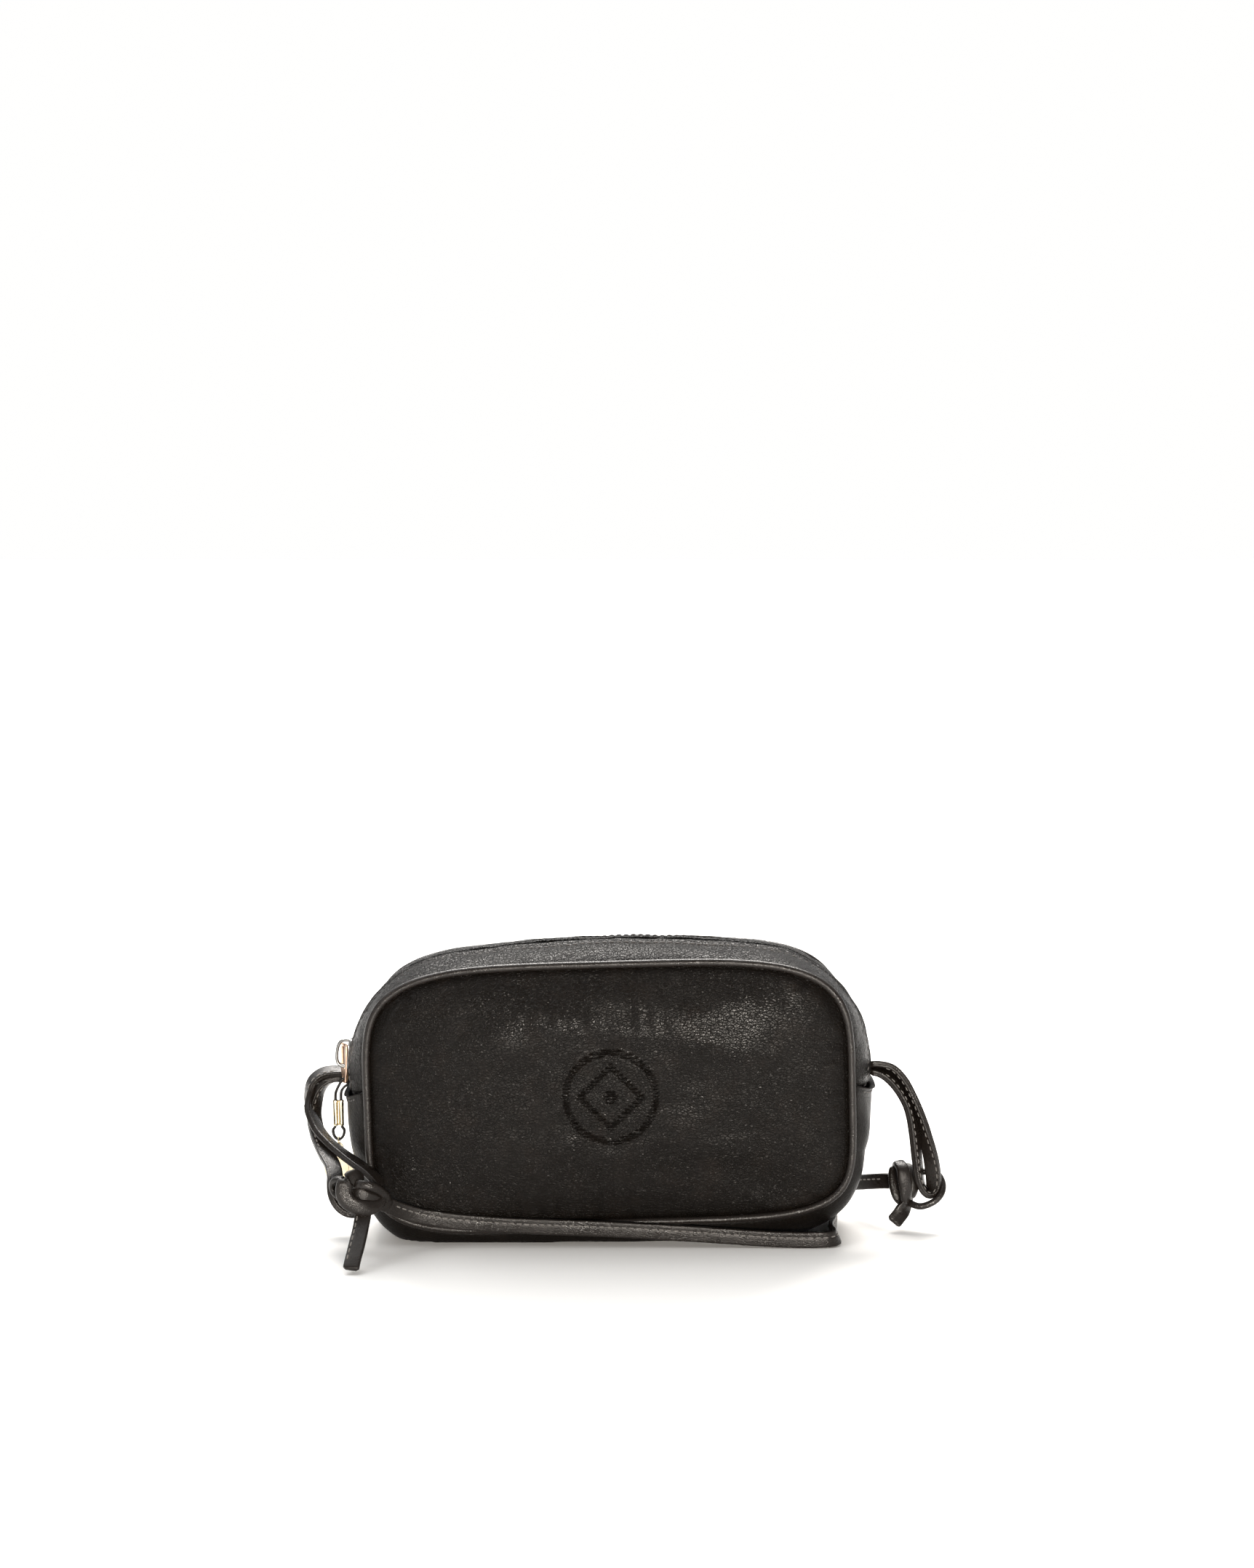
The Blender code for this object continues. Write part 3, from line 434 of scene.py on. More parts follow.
def leather(name, grain, depth, gloss, stretch=(1, 1, 1)):
    """Grained leather: pebbles between fine creases, soft and hard patches, brown where it is worn, and
    painted shade in the creases.
    """
    n = Nodes(name)
    wander = n.add("ShaderNodeTexNoise", Vector=n.place, Scale=1 / 0.004, Detail=2.0)
    shift = n.add("ShaderNodeVectorMath", {"operation": "MULTIPLY_ADD"})
    n.join(wander.outputs["Color"], shift.inputs[0])
    shift.inputs[1].default_value = (0.0012, 0.0012, 0.0012)
    n.join(n.scaled(stretch), shift.inputs[2])
    place = shift.outputs["Vector"]
    pebbles = n.ramp(n.cells(grain, place), (0.0, 0.0), (0.08, 0.75), (0.35, 1.0))
    creases = n.ramp(n.cells(grain * 0.45, place), (0.0, 0.0), (0.13, 1.0))
    pores = n.noise(0.00035, 2.0, place)
    patches = n.noise(0.022, 3.0)
    grain_height = n.math("ADD", n.math("MULTIPLY", pebbles, 0.75), n.math("MULTIPLY", creases, 0.25))
    normal = n.bump(grain_height, depth)
    normal = n.bump(pores, 0.000006, 0.6, Normal=normal)
    worn = n.ramp(n.noise(0.012, 4.0), (0.50, 0.0), (0.80, 1.0))
    colour = n.mix(n.math("MULTIPLY", worn, 0.7), (*BLACK, 1), (*BROWN, 1))
    # Painted shade: the creases between the pebbles, and the low edges of the pebbles, are darkened to under
    # half the leather's colour.
    colour = n.mix(n.ramp(pebbles, (0.0, 1.0), (0.7, 0.0)), colour, (*[c * 0.45 for c in BLACK], 1))
    rough = n.ramp(patches, (0.30, gloss - 0.05), (0.70, gloss + 0.10))
    rough = n.mix(n.ramp(pebbles, (0.0, 0.5), (0.6, 0.0)), rough, (0.6, 0.6, 0.6, 1))
    n.set(Base_Color=colour, Roughness=rough, Normal=normal)
    n.shader.inputs["Specular IOR Level"].default_value = 0.10
    return n.material


def strap_leather(name, dark, edge, gloss):
    """Smooth narrow strip: fine grain, long creases, and scuffed lighter marks."""
    n = Nodes(name)
    grain = n.cells(0.0007)
    fine = n.noise(0.0004, 3.0)
    patches = n.noise(0.009, 4.0)
    scuffs = n.ramp(n.noise(0.0016, 5.0, roughness=0.7), (0.60, 0.0), (0.78, 1.0))
    colour = n.mix(n.math("MULTIPLY", scuffs, 0.55), (*dark, 1), (*edge, 1))
    normal = n.bump(n.ramp(grain, (0.0, 0.0), (0.2, 1.0)), 0.00004, 0.8)
    normal = n.bump(fine, 0.00004, 0.6, Normal=normal)
    normal = n.bump(patches, 0.0006, 0.35, Normal=normal)
    rough = n.ramp(patches, (0.3, gloss - 0.06), (0.7, gloss + 0.14))
    n.set(Base_Color=colour, Roughness=rough, Normal=normal)
    n.shader.inputs["Specular IOR Level"].default_value = 0.26
    return n.material


def thread(name, colour):
    """Twisted thread: slanting strands and a dull sheen."""
    n = Nodes(name)
    strands = n.add("ShaderNodeTexWave", {"bands_direction": "DIAGONAL"}, Vector=n.place, Scale=1 / 0.0011)
    normal = n.bump(strands.outputs["Fac"], 0.00005, 0.8)
    shade = n.mix(n.noise(0.002), (*colour, 1), (*[c * 1.7 for c in colour], 1))
    n.set(Base_Color=shade, Roughness=0.55, Normal=normal)
    n.shader.inputs["Sheen Weight"].default_value = 0.3
    return n.material


def woven(name, colour, pitch):
    """A plain weave of crossing threads."""
    n = Nodes(name)
    inputs = {"Vector": n.place, "Scale": 0.5 / pitch, "Distortion": 0.4}
    waves = [n.add("ShaderNodeTexWave", {"bands_direction": way}, **inputs) for way in "XZ"]
    weave = n.math("MAXIMUM", *[wave.outputs["Fac"] for wave in waves])
    shade = n.mix(weave, (*[c * 0.5 for c in colour], 1), (*colour, 1))
    shade = n.mix(n.math("MULTIPLY", n.noise(0.010, 4.0), 0.4), shade, (*[c * 1.5 for c in colour], 1))
    n.set(Base_Color=shade, Roughness=n.ramp(weave, (0.0, 0.95), (1.0, 0.75)), Normal=n.bump(weave, 0.00008))
    n.shader.inputs["Sheen Weight"].default_value = 0.25
    return n.material


def felted(name, colour, size):
    """Foam or pressed fibre: fine even pores with a few larger ones."""
    n = Nodes(name)
    pores = n.math("MULTIPLY", n.cells(size), n.noise(size * 3))
    shade = n.mix(n.noise(size * 6, 4.0), (*[c * 0.8 for c in colour], 1), (*colour, 1))
    rough = n.ramp(pores, (0.0, 0.98), (0.5, 0.85))
    n.set(Base_Color=shade, Roughness=rough, Normal=n.bump(pores, 0.0002, 0.5))
    return n.material


def metal(name, colour, worn, gloss):
    """Plated metal: fine scratches one way, dull patches and a worn tint."""
    n = Nodes(name)
    lines = n.noise(0.00035, 4.0, n.scaled((1, 1, 6)), 0.7)
    patches = n.noise(0.0035, 4.0)
    shade = n.mix(n.ramp(patches, (0.45, 0.0), (0.80, 1.0)), (*colour, 1), (*worn, 1))
    rough = n.math("MULTIPLY_ADD", lines, 0.16, n.math("MULTIPLY_ADD", patches, 0.14, gloss - 0.10))
    n.set(Base_Color=shade, Roughness=rough, Normal=n.bump(lines, 0.00002, 0.4))
    n.shader.inputs["Metallic"].default_value = 1.0
    return n.material


def floor_material():
    n = Nodes("pale_floor")
    shade = n.mix(n.noise(0.25, 2.0), (0.82, 0.82, 0.812, 1), (0.84, 0.84, 0.832, 1))
    n.set(Base_Color=shade, Roughness=0.8)
    n.shader.inputs["Specular IOR Level"].default_value = 0.2
    return n.material


BLACK = (0.0036, 0.0028, 0.0022)
BROWN = (0.0085, 0.0060, 0.0044)


def make_materials():
    return {
        "panel": leather("panel_leather", 0.0019, 0.00014, 0.21, (1, 1, 1.7)),
        "gusset": leather("gusset_leather", 0.0019, 0.00036, 0.26),
        "base": leather("base_gusset_leather", 0.0018, 0.00010, 0.36),
        "piping": strap_leather("piping_leather", (0.0090, 0.0072, 0.0062), (0.055, 0.036, 0.027), 0.24),
        "strap": strap_leather("strap_leather", (0.0075, 0.0058, 0.0047), (0.050, 0.038, 0.030), 0.25),
        "thread": thread("black_thread", (0.024, 0.021, 0.019)),
        "pale_thread": thread("strap_thread", (0.060, 0.055, 0.050)),
        "lining": woven("lining_cloth", (0.045, 0.036, 0.030), 0.00045),
        "tape": woven("zip_tape_cloth", (0.016, 0.014, 0.013), 0.0006),
        "padding": felted("foam_padding", (0.55, 0.53, 0.48), 0.0006),
        "board": felted("fibre_board", (0.30, 0.24, 0.17), 0.0004),
        "brass": metal("zip_brass", (0.66, 0.52, 0.30), (0.42, 0.31, 0.17), 0.30),
        "steel": metal("slider_steel", (0.20, 0.20, 0.195), (0.10, 0.10, 0.10), 0.30),
        "rose": metal("puller_metal", (0.78, 0.56, 0.42), (0.62, 0.40, 0.28), 0.26),
        "gold": metal("pale_gold", (0.86, 0.76, 0.55), (0.70, 0.55, 0.34), 0.20),
    }


# Lines and surfaces, as in the CAD model but for arrays of places


def even_points(points, count=1500):
    """Points spaced evenly along a line, with one for every step of its parameter."""
    lengths = np.insert(np.cumsum(np.linalg.norm(np.diff(points, axis=0), axis=1)), 0, 0)
    wanted = np.linspace(0, lengths[-1], count)
    return np.column_stack([np.interp(wanted, lengths, column) for column in points.T])


def superellipse(angles, half_width, half_height, power):
    across = np.abs(np.cos(angles)) / half_width
    above = np.abs(np.sin(angles)) / half_height
    reach = (across**power + above**power) ** (-1 / power)
    return np.column_stack([reach * np.cos(angles), CENTRE_HEIGHT + reach * np.sin(angles)])


def tab_angle(tab_height):
    return math.atan2(tab_height - CENTRE_HEIGHT, HALF_WIDTH)


def upper_seam():
    angles = np.linspace(math.pi - tab_angle(LEFT_TAB_HEIGHT), tab_angle(RIGHT_TAB_HEIGHT), 1500)
    return even_points(superellipse(angles, HALF_WIDTH, HALF_HEIGHT, UPPER_POWER))


def lower_seam():
    angles = np.linspace(tab_angle(RIGHT_TAB_HEIGHT), -math.pi - tab_angle(LEFT_TAB_HEIGHT), 1500)
    return even_points(superellipse(angles, HALF_WIDTH, HALF_HEIGHT, LOWER_POWER))


def corner_arc(side, angles):
    reach = CORNER_X + CORNER_RADIUS * np.cos(angles)
    return np.column_stack([side * reach, CORNER_Z + CORNER_RADIUS * np.sin(angles)])


def corner_start(tab_height):
    return math.asin((tab_height - TAB_DIP - CORNER_Z) / CORNER_RADIUS)


def upper_middle():
    arc_half = math.pi / 2 - CORNER_END
    end_x, end_z = corner_arc(1, np.array([CORNER_END]))[0]
    arc_radius = end_x / math.sin(arc_half)
    sweep = np.linspace(-arc_half, arc_half, 400)[1:-1]
    top = [arc_radius * np.sin(sweep), end_z + arc_radius * (np.cos(sweep) - math.cos(arc_half))]
    left = corner_arc(-1, np.linspace(corner_start(LEFT_TAB_HEIGHT), CORNER_END, 400))
    right = corner_arc(1, np.linspace(CORNER_END, corner_start(RIGHT_TAB_HEIGHT), 400))
    return even_points(np.vstack([left, np.column_stack(top), right]))


def lower_middle():
    reach = BASE_HALF_WIDTH + TAB_BULGE
    right = math.atan2(RIGHT_TAB_HEIGHT - TAB_DIP - CENTRE_HEIGHT, reach)
    left = -math.pi - math.atan2(LEFT_TAB_HEIGHT - TAB_DIP - CENTRE_HEIGHT, reach)
    points = superellipse(np.linspace(right, left, 1500), BASE_HALF_WIDTH, BASE_HALF_HEIGHT, BASE_POWER)
    share = (points[:, 1] - CENTRE_HEIGHT) / TAB_BULGE_REACH
    points[:, 0] += np.sign(points[:, 0]) * TAB_BULGE * np.clip(1 - share**2, 0, None)
    return even_points(points)


def settle(points):
    """Leans the bag, lets its lower left corner sag, and stops it at the ground. Points is (..., 3)."""
    above = points[..., 2] - CENTRE_HEIGHT
    x = points[..., 0] * math.cos(LEAN) - above * math.sin(LEAN)
    z = CENTRE_HEIGHT + points[..., 0] * math.sin(LEAN) + above * math.cos(LEAN)
    share = np.clip(-points[..., 0] / SAG_REACH, 0, 1)
    sag = CORNER_SAG * share * share * (3 - 2 * share) * above / HALF_HEIGHT
    z = z + np.where((above < 0) & (points[..., 0] < 0), sag, 0)
    return np.stack([x, points[..., 1], np.maximum(z, 0)], axis=-1)


def along_line(line, share):
    """Places along a line, which runs on straight past its ends."""
    at = share * (len(line) - 1)
    places = np.stack([np.interp(at, np.arange(len(line)), column) for column in line.T], axis=-1)
    before = np.minimum(at, 0)[..., None] * (line[1] - line[0])
    after = np.maximum(at - len(line) + 1, 0)[..., None] * (line[-1] - line[-2])
    return places + before + after


def gusset_surface(seam, middle, roundness):
    """A function of the share of the way round and of y, for arrays of the same shape."""

    def place(share, y):
        bulge = 1 - np.abs(np.clip(2 * y / DEPTH, -1, 1)) ** roundness
        flat = along_line(seam, share) * (1 - bulge)[..., None] + along_line(middle, share) * bulge[..., None]
        return settle(np.stack([flat[..., 0], y, flat[..., 1]], axis=-1))

    return place


def normals_of(surface, share, y):
    step = 0.004
    along = surface(share + step, y) - surface(share - step, y)
    across = surface(share, y + 0.0008) - surface(share, y - 0.0008)
    normal = np.cross(along, across)
    return normal / np.linalg.norm(normal, axis=-1, keepdims=True)


def panel_surface(side, depth, margin):
    half_width = HALF_WIDTH - margin
    half_height = HALF_HEIGHT - margin

    def place(along, up):
        power = np.where(up > 0, UPPER_POWER, LOWER_POWER)
        ring = np.maximum(np.abs(along), np.abs(up))
        whole = np.maximum((np.abs(along) ** power + np.abs(up) ** power) ** (1 / power), 1e-9)
        round_off = ring / whole
        x = -side * along * half_width * round_off
        y = side * (DEPTH / 2 - depth + DOME * (1 - ring**DOME_POWER))
        return settle(np.stack([x, y, CENTRE_HEIGHT + up * half_height * round_off], axis=-1))

    return place


def rough_noise(points, size, seed):
    """Smooth noise from -1 to 1 at each point, whose features are about this size in metres."""
    flat = points.reshape(-1, 3)
    values = [noise.noise(Vector(point) / size + Vector((seed, seed * 2.3, 0))) for point in flat]
    return np.array(values).reshape(points.shape[:-1])


# Meshes


def wear(made, look, body, replaces):
    """Puts a piece in the scene on its body, with its material and the CAD solids it replaces."""
    bpy.context.scene.collection.objects.link(made)
    made.data.materials.append(MATERIALS[look])
    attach(made, body)
    if replaces:
        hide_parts(*replaces)
    return made


def make_object(name, points, faces, look, replaces=(), body="root"):
    mesh = bpy.data.meshes.new(name)
    faces = faces.tolist() if isinstance(faces, np.ndarray) else faces
    mesh.from_pydata(np.asarray(points).reshape(-1, 3).tolist(), [], faces)
    mesh.validate()
    mesh.shade_smooth()
    return wear(bpy.data.objects.new(name, mesh), look, body, replaces)


def grid_faces(rows, columns, wrap_rows=False, wrap_columns=False):
    """Quads over a grid of points stored row by row."""
    row = np.arange(rows if wrap_rows else rows - 1)[:, None]
    column = np.arange(columns if wrap_columns else columns - 1)[None, :]
    next_row = (row + 1) % rows
    next_column = (column + 1) % columns
    corners = [row * columns + column, row * columns + next_column]
    corners += [next_row * columns + next_column, next_row * columns + column]
    return np.stack(np.broadcast_arrays(*corners), -1).reshape(-1, 4)


def swept_faces(rings, sides):
    """A tube of rings of points, with one face over each end."""
    faces = grid_faces(rings, sides, wrap_columns=True).tolist()
    faces.append(list(range(sides))[::-1])
    faces.append(list(range((rings - 1) * sides, rings * sides)))
    return faces


def copied_faces(points, one):
    """The faces of many like solids. Each row of points is one solid."""
    count = points.shape[1]
    return [[index + count * k for index in face] for k in range(len(points)) for face in one]


def shell(outer, inner):
    """The points and faces of a sheet between two grids of points, closed round its rim."""
    rows, columns = outer.shape[:2]
    count = rows * columns
    rim = [r * columns for r in range(rows)]
    rim += [(rows - 1) * columns + c for c in range(1, columns)]
    rim += [r * columns + columns - 1 for r in range(rows - 2, -1, -1)]
    rim += [c for c in range(columns - 2, 0, -1)]
    grid = grid_faces(rows, columns)
    faces = grid.tolist() + (grid[:, ::-1] + count).tolist()
    faces += [[a, b, b + count, a + count] for a, b in zip(rim, rim[1:] + rim[:1])]
    return np.vstack([outer.reshape(-1, 3), inner.reshape(-1, 3)]), faces


def slab(name, surface, shares, ends, depth, thickness, look, replaces, relief, columns):
    """A strip of sheet on a gusset surface, with rounded edges. Relief takes (share, y, place)."""
    y_first, y_last = ends
    radius = thickness / 2
    turn = np.radians([-60, -30, 0, 30, 60])
    inner = np.linspace(y_first + radius, y_last - radius, columns)
    top = [(y, 0.0) for y in inner]
    far_edge = [(y_last - radius + radius * math.cos(a), radius + radius * math.sin(a)) for a in turn]
    bottom = [(y, thickness) for y in inner[::-1]]
    near_edge = [(y_first + radius - radius * math.cos(a), radius - radius * math.sin(a)) for a in turn]
    loop = np.array(top + far_edge + bottom + near_edge)
    share, y = np.meshgrid(shares, loop[:, 0], indexing="ij")
    places = surface(share, y)
    normals = normals_of(surface, share, y)
    inset = np.broadcast_to(loop[:, 1], share.shape) + depth
    if relief is not None:
        inset = inset - relief(share, y, places)
    length = np.linalg.norm(np.diff(places[:, 0], axis=0), axis=1).sum() / (shares[-1] - shares[0])
    from_end = np.minimum(shares - shares[0], shares[-1] - shares) * length
    squeeze = np.sqrt(1 - np.clip(1 - from_end / radius, 0, 0.96) ** 2)[:, None]
    middle = depth + radius
    inset = middle + (inset - middle) * squeeze
    points = places - inset[..., None] * normals
    faces = swept_faces(len(shares), len(loop))
    return make_object(name, points, [face[::-1] for face in faces], look, replaces)


def smooth_rows(rows, spacing):
    """Rows on a Catmull-Rom curve through the given rows, evenly spaced along their first three values."""
    rows = np.array(rows, float)
    padded = np.vstack([2 * rows[0] - rows[1], rows, 2 * rows[-1] - rows[-2]])
    dense = []
    for before, here, after, later in zip(padded, padded[1:], padded[2:], padded[3:]):
        for step in np.linspace(0, 1, 16, endpoint=False):
            bend = 2 * before - 5 * here + 4 * after - later
            swing = 3 * (here - after) + later - before
            dense.append(0.5 * (2 * here + (after - before) * step + bend * step**2 + swing * step**3))
    dense = np.array([*dense, rows[-1]])
    lengths = np.insert(np.cumsum(np.linalg.norm(np.diff(dense[:, :3], axis=0), axis=1)), 0, 0)
    wanted = np.linspace(0, lengths[-1], max(int(round(lengths[-1] / spacing)), 2) + 1)
    return np.column_stack([np.interp(wanted, lengths, column) for column in dense.T])


def unit(vectors):
    return vectors / np.maximum(np.linalg.norm(vectors, axis=-1, keepdims=True), 1e-12)


def frames_along(route, spacing, width_direction=(0, 0, 1)):
    """Places, tangents, widths and normals along a route whose rows may carry the width's direction."""
    rows = [tuple(row) if len(row) == 6 else (*row, *width_direction) for row in route]
    rows = smooth_rows(rows, spacing)
    places = rows[:, :3]
    tangents = unit(np.gradient(places, axis=0))
    widths = rows[:, 3:] - (rows[:, 3:] * tangents).sum(1)[:, None] * tangents
    widths = unit(widths)
    return places, tangents, widths, np.cross(tangents, widths)


def strip_section(width, thickness, stitch_at=None, groove=0.00012):
    """A folded strip's outline: two faces pressed along the stitching, and edges with a parting line."""
    half = width / 2
    thick = thickness / 2
    face = []
    for a in np.linspace(-0.90, 0.90, 13) * half:
        b = thick * (1 - 0.10 * (a / half) ** 2)
        if stitch_at is not None:
            b -= groove * math.exp(-(((a - stitch_at) / 0.0004) ** 2))
        face.append((a, b))
    edge = [(0.975 * half, 0.66 * thick), (half, 0.30 * thick), (0.955 * half, 0.0), (half, -0.30 * thick)]
    edge.append((0.975 * half, -0.66 * thick))
    section = face + edge + [(a, -b) for a, b in reversed(face)] + [(-a, b) for a, b in reversed(edge)]
    return np.array(section)


def oval_section(width, thickness, count=18):
    angles = np.linspace(0, 2 * math.pi, count, endpoint=False)
    power = 0.8
    a = np.sign(np.cos(angles)) * np.abs(np.cos(angles)) ** power * width / 2
    b = np.sign(np.sin(angles)) * np.abs(np.sin(angles)) ** power * thickness / 2
    return np.column_stack([a, b])[::-1]


def sweep(frames, section, ends=0.0006, uneven=0.0):
    """The points and faces of a section swept along frames, its ends rounded off."""
    places, tangents, widths, normals = frames
    step = np.linalg.norm(places[1] - places[0])
    extra = np.array([0.0, 0.35, 0.75])
    close = np.array([0.70, 0.90, 0.98])
    scale = np.ones(len(places))
    for index in range(min(3, len(places) // 2)):
        distance = index * step
        size = np.interp(distance, extra * ends * 1.4, close) if distance < ends else 1
        scale[index] = scale[-1 - index] = size
    rings = places[:, None, :] + scale[:, None, None] * (
        section[None, :, :1] * widths[:, None, :] + section[None, :, 1:] * normals[:, None, :]
    )
    if uneven:
        away = rings - places[:, None, :]
        swell = 1 + uneven * rough_noise(rings, 0.006, 3.1)
        rings = places[:, None, :] + away * swell[..., None]
    faces = [face[::-1] for face in swept_faces(len(places), len(section))]
    return rings.reshape(-1, 3), faces


def joined(parts):
    """Several (points, faces) as one."""
    points = []
    faces = []
    count = 0
    for part_points, part_faces in parts:
        points.append(part_points)
        faces += [[index + count for index in face] for face in part_faces]
        count += len(part_points)
    return np.vstack(points), faces


STITCH_RINGS = (
    # place along half the stitch, size and lift, both in radii
    (-1.0, 0.45, -1.3),
    (-0.75, 0.85, -0.35),
    (-0.3, 1.0, 0.0),
    (0.3, 1.0, 0.0),
    (0.75, 0.85, -0.35),
    (1.0, 0.45, -1.3),
)


def stitches(name, centres, along, outwards, look, length=STITCH_LENGTH):
    """One short arched thread at each centre, its ends sunk into the leather."""
    along = unit(along)
    outwards = unit(outwards - (outwards * along).sum(-1, keepdims=True) * along)
    sideways = np.cross(along, outwards)
    angles = np.linspace(0, 2 * math.pi, 6, endpoint=False)
    rings = []
    for at, size, lift in STITCH_RINGS:
        ring_centre = centres + along * at * length / 2 + outwards * lift * STITCH_RADIUS
        for angle in angles:
            round_it = math.cos(angle) * sideways + math.sin(angle) * outwards
            rings.append(ring_centre + size * STITCH_RADIUS * round_it)
    points = np.stack(rings, axis=1)
    faces = copied_faces(points, swept_faces(len(STITCH_RINGS), len(angles)))
    return make_object(name, points, faces, look)


# The bag's body

UPPER = gusset_surface(upper_seam(), upper_middle(), ZIP_GUSSET_ROUNDNESS)
LOWER = gusset_surface(lower_seam(), lower_middle(), BASE_GUSSET_ROUNDNESS)

# Dents of the front: place along X and Z, half sizes, turn in degrees, depth in metres.
FRONT_DENTS = [
    (0.062, 0.0290, 0.026, 0.0075, -14, 0.0016),
    (0.070, 0.0165, 0.020, 0.0035, -22, -0.0007),
    (0.020, 0.0330, 0.050, 0.0040, 2, 0.0004),
    (-0.072, 0.0330, 0.016, 0.0140, 20, 0.0010),
    (-0.052, 0.0860, 0.024, 0.0100, 12, -0.0010),
    (-0.018, 0.0960, 0.030, 0.0070, -8, -0.0006),
    (0.044, 0.0860, 0.030, 0.0090, -24, -0.0010),
    (0.036, 0.0720, 0.010, 0.0160, -18, 0.0008),
    (-0.034, 0.0700, 0.010, 0.0160, 14, 0.0007),
]
BACK_DENTS = [
    (-0.040, 0.0600, 0.030, 0.0180, 12, 0.0012),
    (0.055, 0.0420, 0.018, 0.0220, -20, 0.0010),
    (0.010, 0.0250, 0.045, 0.0050, 3, 0.0006),
]


def simulated_swell(side):
    """Cloth pinned round the seam and pushed out by the padding. Returns how far each grid point moved."""
    columns, rows = 61, 35
    along, up = np.meshgrid(np.linspace(-1, 1, columns), np.linspace(-1, 1, rows))
    start = panel_surface(side, 0, 0.0006)(along, up)
    mesh = bpy.data.meshes.new("panel_cloth")
    mesh.from_pydata(start.reshape(-1, 3).tolist(), [], grid_faces(rows, columns).tolist())
    cloth = bpy.data.objects.new("panel_cloth", mesh)
    bpy.context.scene.collection.objects.link(cloth)
    pinned = cloth.vertex_groups.new(name="seam")
    ring = np.maximum(np.abs(along), np.abs(up)).reshape(-1)
    pinned.add(np.flatnonzero(ring > 0.95).tolist(), 1.0, "REPLACE")
    settings = cloth.modifiers.new("cloth", "CLOTH").settings
    settings.vertex_group_mass = "seam"
    settings.quality = 6
    settings.mass = 0.35
    settings.tension_stiffness = 30
    settings.compression_stiffness = 18
    settings.shear_stiffness = 12
    settings.bending_stiffness = 1.2
    settings.shrink_min = -0.022
    settings.air_damping = 2.0
    scene = bpy.context.scene
    scene.gravity = (0, side * 14, -6)
    for index in range(1, CLOTH_FRAMES + 1):
        scene.frame_set(index)
    moved = cloth.evaluated_get(bpy.context.evaluated_depsgraph_get()).to_mesh()
    places = np.array([vertex.co for vertex in moved.vertices]).reshape(rows, columns, 3)
    offset = places - start
    scene.frame_set(1)
    bpy.data.objects.remove(cloth)
    size = np.linalg.norm(offset, axis=-1, keepdims=True)
    return offset * np.tanh(size / SWELL_CAP) * SWELL_CAP / np.maximum(size, 1e-9)


def looked_up(values, along, up):
    """Values of the simulated grid, read between its points at -1..1 along and up."""
    rows, columns = values.shape[:2]
    column = (along + 1) / 2 * (columns - 1)
    row = (up + 1) / 2 * (rows - 1)
    left = np.clip(column.astype(int), 0, columns - 2)
    low = np.clip(row.astype(int), 0, rows - 2)
    right_share = (column - left)[..., None]
    high_share = (row - low)[..., None]
    below = values[low, left] * (1 - right_share) + values[low, left + 1] * right_share
    above = values[low + 1, left] * (1 - right_share) + values[low + 1, left + 1] * right_share
    return below * (1 - high_share) + above * high_share


def smooth_step(value, low, high):
    share = np.clip((value - low) / (high - low), 0, 1)
    return share * share * (3 - 2 * share)


def emblem_height(x, z):
    """A lozenge and a disc in a ring, hatched with level lines pressed into the leather."""
    x = x - EMBLEM_CENTRE_X
    z = z - EMBLEM_CENTRE_Z
    reach = np.hypot(x, z)
    ring = 0.0017 - np.abs(reach - EMBLEM_RADIUS)
    lozenge = 0.0015 - np.abs(np.abs(x) + np.abs(z) - 0.0128) * 0.707
    disc = 0.0032 - reach
    inside = np.maximum(np.maximum(ring, lozenge), disc)
    shape = smooth_step(inside, 0.0, 0.0006)
    hatch = 0.5 - 0.5 * np.cos(2 * math.pi * z / HATCH_PITCH)
    pressed = shape * (0.00070 * smooth_step(hatch, 0.25, 0.75) - 0.00012)
    pillow = 0.0003 * np.exp(-((np.maximum(reach - 0.021, 0) / 0.0035) ** 2))
    return -pressed - pillow


def dent_height(x, z, dents):
    height = np.zeros_like(x)
    for centre_x, centre_z, half_x, half_z, turn, depth in dents:
        cos, sin = math.cos(math.radians(turn)), math.sin(math.radians(turn))
        along = ((x - centre_x) * cos + (z - centre_z) * sin) / half_x
        across = (-(x - centre_x) * sin + (z - centre_z) * cos) / half_z
        height -= depth * np.exp(-(along**2) - across**2)
    return height


def uneven_steps(fine_half, fine_step, coarse_step):
    """Places from -1 to 1, close together about the middle."""
    outer = np.linspace(fine_half, 1, max(int(round((1 - fine_half) / coarse_step)), 2) + 1)
    middle = np.linspace(-fine_half, fine_half, int(round(2 * fine_half / fine_step)) + 1)
    return np.concatenate([-outer[:0:-1], middle, outer[1:]])


def wrinkles(points, ring, seed):
    """Low wrinkles that gather towards the seam, and a slow unevenness."""
    squeezed = points * np.array([1.0, 1.0, 1.7])
    edge = smooth_step(ring, 0.72, 0.97)
    gathers = rough_noise(points * np.array([1.6, 0.4, 1.6]), 0.0075, seed)
    slow = rough_noise(squeezed, 0.017, seed + 5)
    fine = rough_noise(squeezed, 0.0042, seed + 9)
    return 0.00040 * slow + 0.00022 * edge * gathers + 0.00007 * fine * (1 - 0.4 * edge)


def seam_distance(along, up):
    """Roughly how far a place on a panel is from the seam."""
    return np.minimum((1 - np.abs(along)) * HALF_WIDTH, (1 - np.abs(up)) * HALF_HEIGHT)


